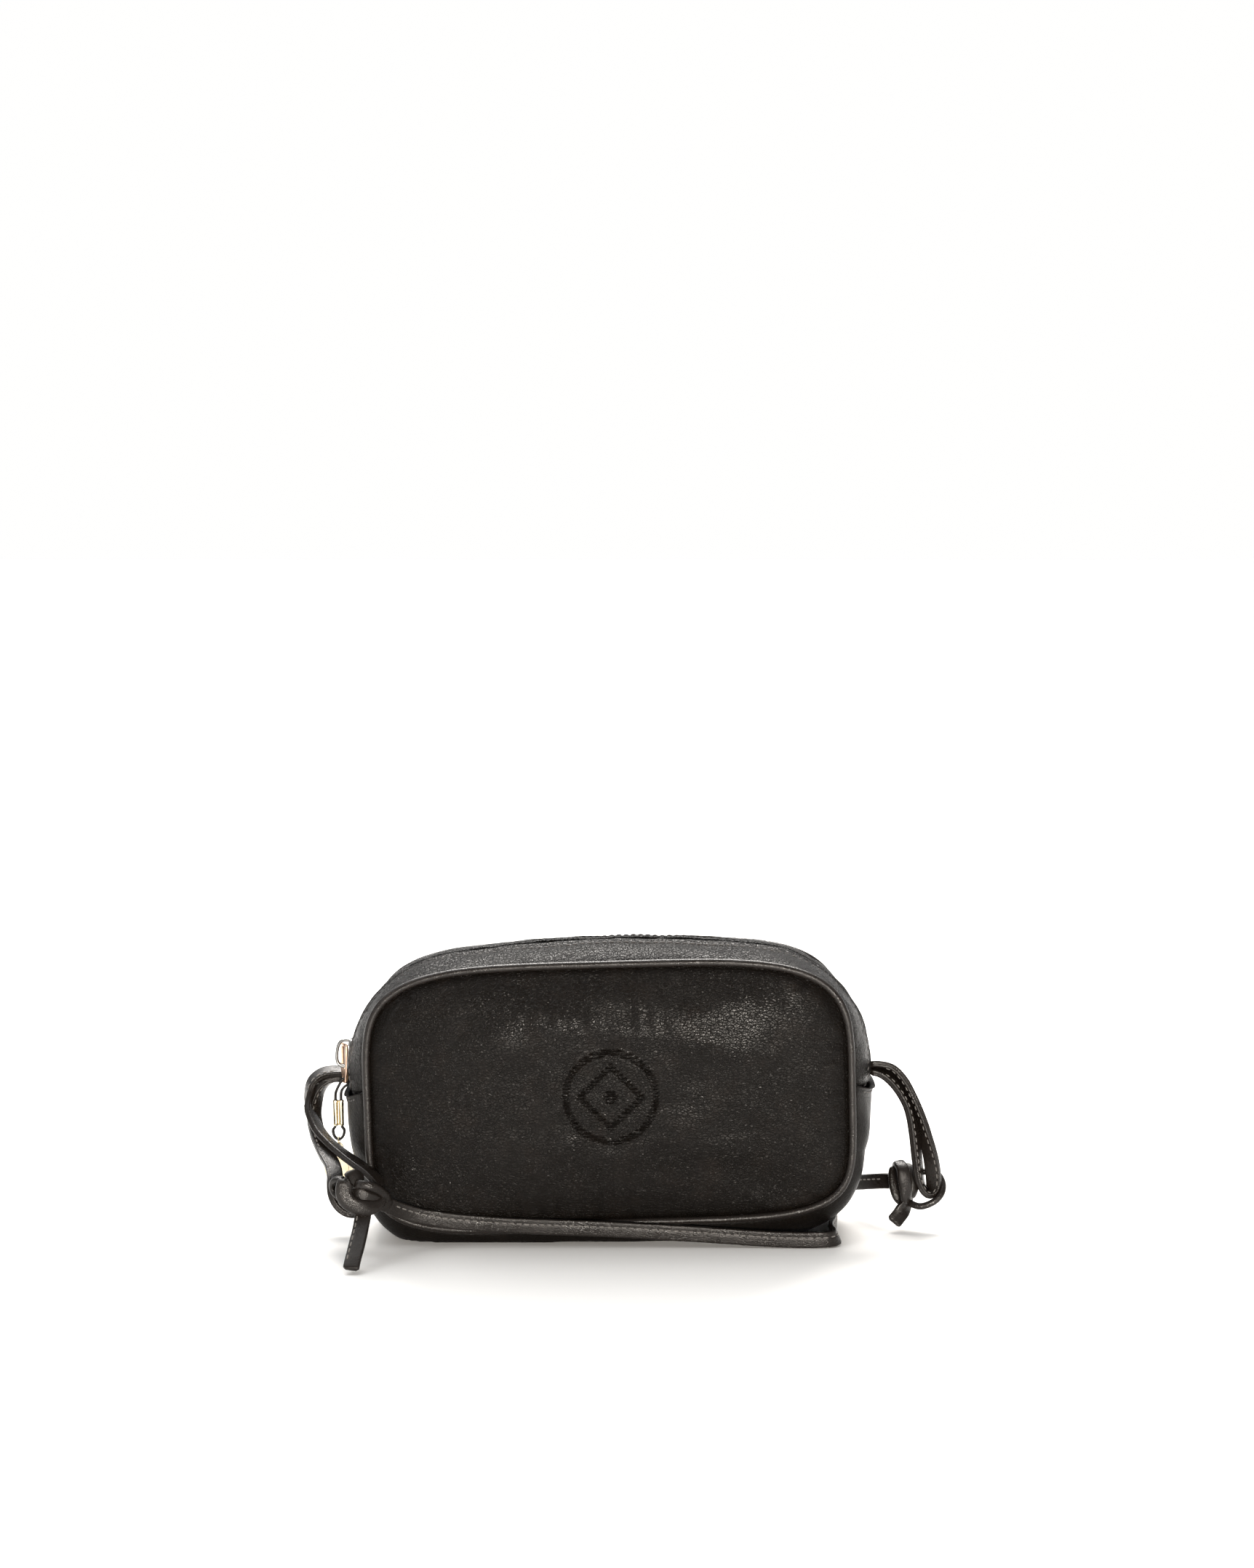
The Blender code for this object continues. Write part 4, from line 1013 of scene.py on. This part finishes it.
def add_panel(side, word, dents):
    """The padded leather panel, over its simulated swell, with its listed dents."""
    front = side < 0
    along_steps = uneven_steps(0.27, 0.0042, 0.0125) if front else np.linspace(-1, 1, 121)
    up_steps = uneven_steps(0.50, 0.0068, 0.0200) if front else np.linspace(-1, 1, 81)
    along, up = np.meshgrid(along_steps, up_steps)
    places = panel_surface(side, 0, 0.0002)(along, up) + looked_up(simulated_swell(side), along, up)
    ring = np.maximum(np.abs(along), np.abs(up))
    height = dent_height(places[..., 0], places[..., 2], dents) * (1 - smooth_step(ring, 0.90, 1.0))
    height += wrinkles(places, ring, 11 if front else 37) * (1 - smooth_step(ring, 0.96, 1.0))
    from_seam = seam_distance(along, up)
    height -= 0.0011 * np.exp(-((np.maximum(from_seam - 0.0014, 0) / 0.0011) ** 2))
    if front:
        height += emblem_height(places[..., 0], places[..., 2])
    places[..., 1] += side * height
    inner = places - np.array([0, side * LEATHER, 0])
    made = make_object(f"{word}_panel_leather", *shell(places, inner), "panel", [f"{word}_panel"])
    made.data.set_sharp_from_angle(angle=math.radians(60))


def add_layer(name, surface, across, up, size, thickness, look, replaces, seed):
    """An inner layer: a sheet with slight waves."""
    columns, rows = size
    places = surface(*np.meshgrid(np.linspace(*across, columns), np.linspace(*up, rows)))
    lift = 0.00008 * rough_noise(places, 0.012, seed)
    normal = unit(np.cross(np.gradient(places, axis=1), np.gradient(places, axis=0)))
    outer = places + lift[..., None] * normal
    return make_object(name, *shell(outer, outer - thickness * normal), look, replaces)


def add_panels():
    add_panel(-1, "front", FRONT_DENTS)
    add_panel(1, "back", BACK_DENTS)
    whole = (-1, 1)
    for side, word in SIDES:
        foam = panel_surface(side, LEATHER + LAYER_GAP + 0.0011, FOAM_MARGIN)
        pad = add_layer(f"{word}_foam", foam, whole, whole, (49, 29), FOAM, "padding", [f"{word}_padding"], 3)
        inner = panel_surface(side, LINING_DEPTH, LINING_MARGIN)
        name = f"{word}_lining_cloth"
        cloth = add_layer(name, inner, whole, whole, (61, 35), LINING, "lining", [f"{word}_lining"], 5)
    pocket = panel_surface(1, LINING_DEPTH + LINING + 3 * LAYER_GAP, LINING_MARGIN)
    across, up = (-0.62, 0.62), (-0.80, 0.50)
    slip = add_layer("slip_pocket", pocket, across, up, (41, 25), LINING, "lining", ["inner_pocket"], 7)


def seam_loop():
    """Places along the whole seam, without its height over the bag's middle plane."""
    upper = upper_seam()
    return even_points(np.vstack([upper, lower_seam()[1:-1], upper[:1]]), 721)[:-1]


def add_piping():
    """Leather rolled round a cord: a tube that is never quite even."""
    line = seam_loop()
    angles = np.linspace(0, 2 * math.pi, 16, endpoint=False)
    for side, word in SIDES:
        places = settle(np.column_stack([line[:, 0], np.full(len(line), side * DEPTH / 2), line[:, 1]]))
        tangents = unit(np.roll(places, -1, 0) - np.roll(places, 1, 0))
        outwards = np.cross(tangents, np.array(ACROSS_DEPTH))
        forwards = np.cross(outwards, tangents)
        ring = np.cos(angles)[None, :, None] * outwards[:, None, :]
        ring = ring + np.sin(angles)[None, :, None] * forwards[:, None, :]
        bare = places[:, None, :] + PIPING_RADIUS * ring
        radius = PIPING_SWOLLEN * (1 + 0.045 * rough_noise(bare, 0.005, 2 + side))
        points = places[:, None, :] + radius[..., None] * ring
        faces = grid_faces(len(line), len(angles), True, True)
        make_object(f"{word}_piping_leather", points, faces, "piping", [f"{word}_piping"])


def ridge(distance, width):
    """A rounded ridge of height 1 where the distance is 0."""
    return np.exp(-((distance / width) ** 2))


def zip_relief(share, y, places):
    """The zip gussets' height: the rolled lip, the row of stitches with its puckers, and the seam."""
    from_row = np.abs(y) - ZIP_STITCH_LINE
    groove = 0.00014 * ridge(from_row, 0.0006) + 0.0009 * ridge(GUSSET_EDGE - np.abs(y), 0.0016)
    roll = 0.00065 * ridge(np.abs(y) - ZIP_LIP - 0.0010, 0.0012)
    back_lip = np.where(y > 0, 0.0011, 0) * ridge(y - ZIP_LIP, 0.0045)
    puckers = 0.00026 * ridge(from_row, 0.0016) * np.cos(2 * math.pi * share * 290 / 3.1)
    under_tab = 0.0010 * smooth_step(np.maximum(-share, share - 1), -0.002, 0.002)
    uneven = 0.00045 * rough_noise(places, 0.011, 21) + 0.00018 * rough_noise(places, 0.0035, 4)
    return roll - back_lip - groove - under_tab + puckers + uneven


def base_relief(share, y, places):
    """The wide gusset's height: folded ends that lie down on the zip gussets, and soft creases."""
    end = np.minimum(share, 1 - share) * 0.33
    fold = 0.0004 * smooth_step(-end, -0.0040, -0.0030)
    groove = 0.00020 * ridge(end - 0.0022, 0.0005)
    slow = rough_noise(places * np.array([1, 0.6, 1]), 0.013, 8)
    upright = smooth_step(places[..., 2], 0.003, 0.012)
    creases = rough_noise(places * np.array([1, 1, 0.35]), 0.0045, 15)
    first, last = np.zeros_like(y), np.ones_like(y)
    right_gap = LOWER(first, y)[..., 0] - UPPER(last, y)[..., 0]
    left_gap = UPPER(first, y)[..., 0] - LOWER(last, y)[..., 0]
    step = LEATHER + 0.0002 + 0.0004 * (1 - (2 * y / DEPTH) ** 2)
    tuck = np.maximum(np.where(share < 0.5, right_gap, left_gap) - step, 0)
    tucked = tuck * smooth_step(-end, -0.0300, -0.0010)
    return fold - groove - tucked + upright * (0.00022 * slow + 0.00014 * creases)


def add_gussets():
    """The two strips beside the zip and the strip round the base."""
    shares = np.linspace(-0.012, 1.012, 366)
    for side, word in SIDES:
        ends = sorted((side * ZIP_LIP, side * GUSSET_EDGE))
        name = f"zip_gusset_{word}"
        slab(f"{name}_leather", UPPER, shares, ends, 0, LEATHER, "gusset", [name], zip_relief, 26)
    shares = np.linspace(0.0006, 0.9994, 420)
    ends = (-GUSSET_EDGE, GUSSET_EDGE)
    slab("base_gusset_leather", LOWER, shares, ends, 0, LEATHER, "base", ["base_gusset"], base_relief, 44)


def stitch_row(name, surface, relief, share, y, along, lift, length):
    """Stitches on a gusset, lifted a little off its relief."""
    centres = surface(share, y)
    outwards = normals_of(surface, share, y)
    height = relief(share, y, centres)[:, None] + lift
    stitches(name, centres + height * outwards, along, outwards, "thread", length)


def add_gusset_stitching():
    length = np.linalg.norm(np.diff(UPPER(np.linspace(0, 1, 200), np.zeros(200)), axis=0), axis=1).sum()
    at = np.arange(STITCH_PITCH, length - STITCH_PITCH, STITCH_PITCH) / length
    for side, word in SIDES:
        y = np.full_like(at, side * ZIP_STITCH_LINE)
        along = UPPER(at + 0.002, y) - UPPER(at - 0.002, y)
        stitch_row(f"zip_stitching_{word}", UPPER, zip_relief, at, y, along, 0.00014, STITCH_LENGTH)
    for word, end in (("right", 0.0), ("left", 1.0)):
        y = np.arange(-0.0225, 0.0226, 0.0026)
        share = np.full_like(y, abs(end - TAB_STITCH_SHARE))
        along = LOWER(share, y + 0.001) - LOWER(share, y - 0.001)
        stitch_row(f"tab_stitching_{word}", LOWER, base_relief, share, y, along, 0.00003, 0.0018)


def add_gusset_linings():
    depth = TAPE_INSET + TAPE + 2 * LAYER_GAP
    shares = np.linspace(0.012, 0.988, 160)
    for side, word in SIDES:
        ends = sorted((side * 0.007, side * 0.0212))
        node = f"gusset_lining_{word}"
        cloth = slab(f"{node}_cloth", UPPER, shares, ends, depth, LINING, "lining", [node], None, 8)
    shares = np.linspace(0.018, 0.982, 200)
    depth = LEATHER + 0.0010 + 4 * LAYER_GAP
    ends = (-0.018, 0.018)
    cloth = slab("base_lining_cloth", LOWER, shares, ends, depth, LINING, "lining", ["base_lining"], None, 16)
    board_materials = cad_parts["base_board"].data.materials
    board_materials.clear()
    board_materials.append(MATERIALS["board"])


# The zip


def add_zip():
    shares = np.linspace(-0.004, 1.004, 300)
    line = UPPER(np.linspace(0, 1, 400), np.zeros(400))
    length = np.linalg.norm(np.diff(line, axis=0), axis=1).sum()

    def beading(share, y, places):
        ribs = 0.00006 * np.cos(2 * math.pi * share * length / 0.0009)
        bead = 0.00035 * ridge(np.abs(y) - 0.0024, 0.0005)
        from_end = np.minimum(share, 1 - share) * length
        return ribs + bead + 0.0012 * smooth_step(-from_end, -0.0030, 0.0)

    for side, word in SIDES:
        ends = sorted((side * 0.0018, side * 0.0140))
        node = f"zip_tape_{word}"
        slab(f"{node}_cloth", UPPER, shares, ends, TAPE_INSET, TAPE, "tape", [node], beading, 10)
        offset = 0.0 if side < 0 else TOOTH_PITCH / 2
        add_teeth(side, word, np.arange(0.0052 + offset, length - 0.0050, TOOTH_PITCH) / length)
    depth = TAPE_MIDDLE - TEETH_HEIGHT / 2
    for word, (first, last) in (("left", (0.008, 0.0145)), ("right", (0.9855, 0.992))):
        shares = np.linspace(first, last, 9)
        node = f"zip_stop_{word}"
        slab(f"{node}_brass", UPPER, shares, (-0.0026, 0.0026), depth, TEETH_HEIGHT, "brass", [node], None, 5)


TOOTH_OUTLINE = (
    # away from the zip's middle, along the zip: a clamp with two legs, a waist and a rounded head
    (0.00260, 0.00052),
    (0.00150, 0.00054),
    (0.00085, 0.00040),
    (0.00045, 0.00050),
    (-0.00005, 0.00046),
    (-0.00035, 0.00022),
    (-0.00035, -0.00022),
    (-0.00005, -0.00046),
    (0.00045, -0.00050),
    (0.00085, -0.00040),
    (0.00150, -0.00054),
    (0.00260, -0.00052),
)
TOOTH_LAYERS = ((-0.5, 0.72), (-0.36, 1.0), (0.22, 1.0), (0.33, 0.72))


def add_teeth(side, word, at):
    """Cast teeth along one tape, each a solid of four layers, rounded above and below."""
    outline = np.array(TOOTH_OUTLINE)
    middle = outline.mean(0)
    y = np.zeros_like(at)
    centres = UPPER(at, y)
    outwards = normals_of(UPPER, at, y)
    along = unit(UPPER(at + 0.002, y) - UPPER(at - 0.002, y))
    across = side * np.tile([0.0, 1.0, 0.0], (len(at), 1))
    points = []
    for height, size in TOOTH_LAYERS:
        base = centres + (height * TEETH_HEIGHT - TAPE_MIDDLE) * outwards
        points += [base + far * across + step * along for far, step in (outline - middle) * size + middle]
    points = np.stack(points, axis=1)
    one = swept_faces(len(TOOTH_LAYERS), len(outline))
    if side < 0:
        one = [face[::-1] for face in one]
    node = f"zip_teeth_{word}"
    made = make_object(f"{node}_brass", points, copied_faces(points, one), "brass", [node])
    made.data.set_sharp_from_angle(angle=math.radians(40))


# The moving pieces


def slider_place():
    centre = Vector(settle(np.array([-CORNER_X, 0, CORNER_Z])))
    angle = SLIDER_ANGLE - LEAN
    outwards = Vector((-math.cos(angle), 0, math.sin(angle)))
    return centre, outwards, ACROSS_DEPTH.cross(outwards)


def frame_matrix(place, x_axis, y_axis):
    matrix = Matrix((x_axis, y_axis, Vector(x_axis).cross(y_axis))).transposed().to_4x4()
    matrix.translation = place
    return np.array(matrix)


def rounded(corners, radius, count=5):
    """An outline with its corners rounded. A corner may give its own radius."""
    found = []
    number = len(corners)
    for index in range(number):
        corner = Vector(corners[index][:2])
        wanted = corners[index][2] if len(corners[index]) > 2 else radius
        before = Vector(corners[index - 1][:2]) - corner
        after = Vector(corners[(index + 1) % number][:2]) - corner
        cut = min(wanted, 0.48 * before.length, 0.48 * after.length)
        start = corner + before.normalized() * cut
        end = corner + after.normalized() * cut
        for step in np.linspace(0, 1, count):
            first = start.lerp(corner, step)
            second = corner.lerp(end, step)
            found.append(first.lerp(second, step))
    return [(point.x, point.y) for point in found]


def plate(name, outlines, thickness, matrix, look, body, replaces=(), bevel=0.0002):
    """A flat outline with holes, extruded both ways from its plane, its edges rounded."""
    curve = bpy.data.curves.new(name, "CURVE")
    curve.dimensions = "2D"
    curve.fill_mode = "BOTH"
    curve.extrude = thickness / 2 - bevel
    curve.bevel_depth = bevel
    curve.bevel_resolution = 2
    curve.offset = -bevel
    for outline in outlines:
        spline = curve.splines.new("POLY")
        spline.points.add(len(outline) - 1)
        for place, (x, y) in zip(spline.points, outline):
            place.co = (x, y, 0, 1)
        spline.use_cyclic_u = True
    helper = bpy.data.objects.new("helper", curve)
    mesh = bpy.data.meshes.new_from_object(helper)
    bpy.data.objects.remove(helper)
    mesh.transform(Matrix(matrix.tolist()))
    mesh.name = name
    mesh.materials.clear()
    mesh.shade_smooth()
    mesh.set_sharp_from_angle(angle=math.radians(35))
    return wear(bpy.data.objects.new(name, mesh), look, body, replaces)


def circle(x, y, radius, count=28, start=0.0, end=2 * math.pi):
    """Points on a circle, or on the arc of it from start to end."""
    whole = end - start >= 2 * math.pi
    angles = np.linspace(start, end, count, endpoint=not whole)
    return [(x + radius * math.cos(a), y + radius * math.sin(a)) for a in angles]


def add_slider():
    """Two shields on a web, an arched bridge over them and its two lugs. Returns the puller's place."""
    centre, outwards, along = slider_place()
    chain = CORNER_RADIUS - TAPE_MIDDLE

    def level(height, ahead=0.0):
        return frame_matrix(centre + (chain + height) * outwards + ahead * along, ACROSS_DEPTH, along)

    half = SLIDER_LENGTH / 2
    shield = [(-0.0030, half), (0.0030, half), (0.0042, 0.0030)]
    shield += [(0.0036, -half), (-0.0036, -half), (-0.0042, 0.0030)]
    shield = rounded(shield, 0.0016)
    plate("slider_top_shield", [shield], 0.0012, level(0.0021), "steel", "slider", ["slider_body"], 0.0004)
    plate("slider_bottom_shield", [shield], 0.0012, level(-0.0027), "steel", "slider", (), 0.0004)
    diamond = rounded([(0, 0.0050), (0.0009, 0.0020), (0, -0.0010), (-0.0009, 0.0020)], 0.0004)
    plate("slider_diamond", [diamond], 0.0038, level(-0.0003), "steel", "slider")
    foot = chain + 0.0024
    arch = [(-0.0056, -0.0004), (-0.0057, 0.0018), (-0.0049, 0.0040), (-0.0030, 0.0050), (0.0, 0.0053)]
    arch += [(-x, y) for x, y in reversed(arch[:-1])]
    route = [tuple(centre + x * along + (foot + y) * outwards) for x, y in arch]
    points, faces = sweep(frames_along(route, 0.0004, (0, 1, 0)), oval_section(0.0026, 0.0014), 0.0)
    make_object("slider_arch", points, faces, "steel", ["slider_bridge"], "slider")
    lug = rounded([(-0.0018, 0.0014), (0.0018, 0.0014), (0.0018, -0.0014), (-0.0018, -0.0014)], 0.0007)
    for word, ahead in (("upper", 0.0048), ("lower", -0.0048)):
        plate(f"slider_lug_{word}", [lug], 0.0008, level(0.0028, ahead), "steel", "slider", (), 0.0003)
    return centre + (chain + 0.0015 + 0.0012 + PULLER_HEIGHT) * outwards + PULLER_SHIFT * along


def add_puller(place):
    """A stamped plate with a long slot over the bridge and a hole for the cord."""
    right_half = [(0.0030, 0.0006), (0.0030, -0.0113), (0.0019, -0.0140), (0.0019, -0.0164, 0.0018)]
    left_half = [(-x, *rest) for x, *rest in right_half]
    outline = rounded([right_half[0], *left_half, *right_half[:0:-1]], 0.0010)
    slot = rounded([(0.00135, -0.0006), (-0.00135, -0.0006), (-0.00135, -0.0103), (0.00135, -0.0103)], 0.0009)
    hole = circle(0, -PULLER_HOLE_DROP, 0.0011)
    turned = Vector((-math.sin(PULLER_TURN), math.cos(PULLER_TURN), 0))
    matrix = frame_matrix(place, turned, UP)
    outlines = [outline, slot, hole]
    plate("puller_stamping", outlines, 0.0012, matrix, "rose", "puller", ["puller_plate"], 0.00025)


def add_pull_cord(place):
    """The leather cord: twisted through the puller's hole, into the ferrule, and a small loop below."""
    hole = place.z - PULLER_HOLE_DROP
    left = CHAIN_X - FERRULE_RADIUS
    right = CHAIN_X + FERRULE_RADIUS
    bottom = FERRULE_TOP - FERRULE_LENGTH
    upper = [
        (left, 0.0, FERRULE_TOP - 0.0020),
        (left, 0.0, FERRULE_TOP + 0.0020),
        (left + 0.0006, -0.0006, FERRULE_TOP + 0.0045),
        (place.x - 0.0013, -0.0003, hole - 0.0007),
        (place.x, 0.0, hole + 0.0002),
        (place.x + 0.0013, 0.0004, hole - 0.0008),
        (place.x + 0.0012, 0.0007, hole - 0.0024),
        (place.x - 0.0006, 0.0005, hole - 0.0040),
        (right, 0.0, FERRULE_TOP + 0.0032),
        (right, 0.0, FERRULE_TOP - 0.0020),
    ]
    lower = [
        (right, 0.0, bottom + 0.0020),
        (right + 0.0003, 0.0, bottom - 0.0006),
        (right + 0.0012, 0.0, bottom - 0.0022),
        (right + 0.0006, 0.0, bottom - 0.0048),
        (CHAIN_X, 0.0, CORD_LOOP_BOTTOM),
        (left - 0.0006, 0.0, bottom - 0.0048),
        (left - 0.0012, 0.0, bottom - 0.0022),
        (left - 0.0003, 0.0, bottom - 0.0006),
        (left, 0.0, bottom + 0.0020),
    ]
    section = oval_section(0.0015, 0.0011, 12)
    parts = [sweep(frames_along(route, 0.0004, (0.3, 1, 0)), section, 0.0, 0.05) for route in (upper, lower)]
    make_object("pull_cord_leather", *joined(parts), "strap", ["pull_cord"], "puller")


def add_ferrule():
    """Two short metal tubes side by side, their lips slightly rolled."""
    bottom = FERRULE_TOP - FERRULE_LENGTH
    lip = [(0.00086, 0), (0.00105, -0.0001), (0.00120, 0.0002), (0.00112, 0.0009)]
    profile = lip + [(radius, FERRULE_LENGTH - height) for radius, height in reversed(lip)]
    angles = np.linspace(0, 2 * math.pi, 24, endpoint=False)
    parts = []
    for side in (-1, 1):
        centre = np.array([CHAIN_X + side * 0.00118, 0, bottom])
        ring = [(r * math.cos(a), r * math.sin(a), height) for r, height in profile for a in angles]
        parts.append((centre + np.array(ring), grid_faces(len(profile), len(angles), True, True).tolist()))
    made = make_object("ferrule_tubes", *joined(parts), "gold", ["pull_ferrule"], "puller")
    made.data.set_sharp_from_angle(angle=math.radians(50))


def add_charm():
    """A wire ring and a round charm with a raised rim, on the charm's own body."""
    ring_radius = 0.0022
    wire = 0.0004
    ring_centre = CORD_LOOP_BOTTOM - ring_radius + wire + 0.00055 + 0.0003
    a = np.linspace(0, 2 * math.pi, 48, endpoint=False)[:, None]
    b = np.linspace(0, 2 * math.pi, 12, endpoint=False)[None, :]
    reach = ring_radius + wire * np.cos(b)
    across = CHAIN_X + wire * np.sin(b)
    points = np.stack(np.broadcast_arrays(across, reach * np.cos(a), ring_centre + reach * np.sin(a)), -1)
    faces = grid_faces(a.size, b.size, True, True)
    make_object("charm_wire_ring", points, faces[:, ::-1], "gold", ["charm_ring"], "charm")
    rise = 0.0090
    matrix = frame_matrix(Vector((CHAIN_X, 0, ring_centre - ring_radius - rise)), ALONG_BAG, UP)
    outline = circle(0, 0, 0.0065, 60, math.radians(106), math.radians(434))
    outline += circle(0, rise, 0.0019, 20, 0, math.pi)
    hole = circle(0, rise, 0.0011)
    plate("charm_disc", [outline, hole], 0.0010, matrix, "gold", "charm", ["charm"])
    for word, radius, depth in (("rim", 0.0060, 0.0014), ("bead", 0.0042, 0.0012)):
        band = [circle(0, 0, radius, 60), circle(0, 0, radius - 0.0007, 60)]
        plate(f"charm_{word}", band, depth, matrix, "gold", "charm")


# The strap, its knots and the side loops


def strap_stitches(name, frames, stitch_at, thickness, first=0.006, faces=(1, -1)):
    """Stitches along the faces of a strip."""
    lengths = np.insert(np.cumsum(np.linalg.norm(np.diff(frames[0], axis=0), axis=1)), 0, 0)
    at = np.arange(first, lengths[-1] - first * 0.8, STITCH_PITCH)
    centre, along, width, normal = (
        np.column_stack([np.interp(at, lengths, column) for column in values.T]) for values in frames
    )
    lift = thickness / 2 * (1 - 0.10 * (2 * stitch_at / STRIP_WIDTH) ** 2) - 0.00002
    centres = np.vstack([centre + stitch_at * width + face * lift * normal for face in faces])
    outs = np.vstack([face * normal for face in faces])
    return stitches(name, centres, np.vstack([along] * len(faces)), outs, "pale_thread")


def add_strip(name, route, width, spacing, replaces, stitch_at, uneven=0.03, thickness=STRIP_THICKNESS):
    """A folded strip along a route. Width is the direction of its width where the route gives none."""
    frames = frames_along(route, spacing, width)
    points, faces = sweep(frames, strip_section(STRIP_WIDTH, thickness, stitch_at), 0.0008, uneven)
    made = make_object(name, points, faces, "strap", replaces)
    made.data.set_sharp_from_angle(angle=math.radians(70))
    return made, frames


def add_knot(word, wraps, sizes, ring, ring_size):
    """An overhand knot: the turns of the strap that show, and the tight round turn through the side loop."""
    parts = []
    for wrap, size in zip(wraps, sizes):
        parts.append(sweep(frames_along(wrap, 0.0006), oval_section(*size, 28), 0.0008, 0.06))
    frames = frames_along(ring, 0.0006, (0.2, 1, 0.1))
    parts.append(sweep(frames, oval_section(*ring_size, 20), 0.0006, 0.05))
    return make_object(f"{word}_knot_turns", *joined(parts), "strap", [f"{word}_knot"])


def add_strap():
    """The strap with its stitching, and the knots and tails at its ends."""
    seam, tail_seam = STRAP_STITCH_LINE, TAIL_STITCH_LINE
    strap, frames = add_strip("long_strap", STRAP, (0, 0, 1), 0.0020, ["strap"], seam)
    pieces = [strap_stitches("strap_stitching", frames, seam, STRIP_THICKNESS)]
    tail, tail_frames = add_strip("left_tail_strip", LEFT_TAIL, (1, 0, 0), 0.0008, ["left_tail"], tail_seam)
    pieces += [tail, strap_stitches("left_tail_stitching", tail_frames, tail_seam, STRIP_THICKNESS, 0.003)]
    tail, _ = add_strip("right_tail_strip", RIGHT_TAIL, (1, 0, 0), 0.0006, ["right_tail"], -0.0010, 0.08)
    pieces += [tail, add_knot("left", LEFT_WRAPS, LEFT_WRAP_SIZES, LEFT_RING, (0.0040, 0.0026))]
    pieces += [add_knot("right", RIGHT_WRAPS, RIGHT_WRAP_SIZES, RIGHT_RING, (0.0028, 0.0028))]


def add_side_loops():
    for word, route, length in (("left", LEFT_LOOP, 0.20), ("right", RIGHT_LOOP, 0.13)):
        name = f"{word}_loop_strip"
        seam = LOOP_STITCH_LINE
        replaced = [f"{word}_side_loop"]
        loop, frames = add_strip(name, route, (0, 1, 0), 0.0010, replaced, seam, thickness=LOOP_THICKNESS)
        seam_piece = strap_stitches(f"{word}_loop_stitching", frames, seam, LOOP_THICKNESS, 0.008, (-1,))


# The camera, the light and the floor

CAMERA_PLACE = (0.0073, -1.089, 0.310)
CAMERA_PITCH = math.radians(6.27)
FLOOR_HALF = 12.0
AREA_LIGHTS = (
    # name, place, target, size, power, colour
    ("front_softbox", (0.22, -1.43, 0.20), (0, 0, 0.07), (0.44, 0.10), 30, (1.0, 0.92, 0.83)),
    ("top_strip", (0.05, 0.75, 1.05), (0, 0, 0.11), (1.1, 0.22), 32, (1.0, 0.95, 0.90)),
    ("left_strip", (-1.0, -0.70, 0.60), (-0.1, 0, 0.05), (0.25, 0.9), 3.5, (1.0, 1.0, 1.0)),
)

def placed(name, data, place=(0, 0, 0), facing=(0, 0, -1)):
    """Puts a camera or a light in the scene, facing a direction."""
    made = bpy.data.objects.new(name, data)
    bpy.context.scene.collection.objects.link(made)
    made.location = place
    made.rotation_euler = Vector(facing).to_track_quat("-Z", "Y").to_euler()
    return made


def add_camera():
    camera = placed("camera", bpy.data.cameras.new("camera"), CAMERA_PLACE)
    camera.data.lens = 60
    camera.data.sensor_width = 36
    camera.rotation_euler = (math.radians(90) - CAMERA_PITCH, 0, 0)
    bpy.context.scene.camera = camera


def add_area_light(name, place, target, size, power, colour):
    light = bpy.data.lights.new(name, "AREA")
    light.shape = "RECTANGLE"
    light.size, light.size_y = size
    light.energy = power
    light.color = colour
    placed(name, light, place, Vector(target) - Vector(place))


def add_sun(name, direction, strength, angle):
    """A broad soft sun, which lights the whole floor evenly. Direction points towards it."""
    light = bpy.data.lights.new(name, "SUN")
    light.energy = strength
    light.angle = math.radians(angle)
    placed(name, light, facing=-Vector(direction))


def add_world():
    """White as the camera sees it. As light it is brightest overhead and behind, and dim in front."""
    world = bpy.data.worlds.new("studio")
    bpy.context.scene.world = world
    world.use_nodes = True
    tree = world.node_tree
    direction = tree.nodes.new("ShaderNodeTexCoord")
    facing = tree.nodes.new("ShaderNodeVectorMath")
    facing.operation = "DOT_PRODUCT"
    facing.inputs[1].default_value = (0.05, 0.45, 0.60)
    tree.links.new(direction.outputs["Generated"], facing.inputs[0])
    level = tree.nodes.new("ShaderNodeMapRange")
    level.inputs["From Min"].default_value = -0.2
    level.inputs["From Max"].default_value = 0.7
    level.inputs["To Min"].default_value = 0.06
    level.inputs["To Max"].default_value = 0.85
    tree.links.new(facing.outputs["Value"], level.inputs["Value"])
    seen = tree.nodes.new("ShaderNodeLightPath")
    strength = tree.nodes.new("ShaderNodeMix")
    strength.inputs["B"].default_value = 1.0
    tree.links.new(level.outputs["Result"], strength.inputs["A"])
    tree.links.new(seen.outputs["Is Camera Ray"], strength.inputs["Factor"])
    background = tree.nodes["Background"]
    tree.links.new(strength.outputs["Result"], background.inputs["Strength"])
    background.inputs["Color"].default_value = (1.0, 0.998, 0.992, 1)


def add_studio():
    half = FLOOR_HALF
    floor_mesh = bpy.data.meshes.new("floor")
    corners = [(-half, -half, 0), (half, -half, 0), (half, half, 0), (-half, half, 0)]
    floor_mesh.from_pydata(corners, [], [(0, 1, 2, 3)])
    floor_mesh.materials.append(floor_material())
    floor = bpy.data.objects.new("floor", floor_mesh)
    bpy.context.scene.collection.objects.link(floor)
    add_world()
    add_sun("soft_sun", (-0.25, 0.42, 1.0), 2.25, 60)
    for light in AREA_LIGHTS:
        add_area_light(*light)
    bpy.context.scene.view_settings.view_transform = "Standard"


MATERIALS = make_materials()
add_camera()
add_strap()
add_side_loops()
add_panels()
add_piping()
add_gussets()
add_gusset_stitching()
add_gusset_linings()
add_zip()
PULLER_PLACE = add_slider()
add_puller(PULLER_PLACE)
add_pull_cord(PULLER_PLACE)
add_ferrule()
add_charm()
add_studio()
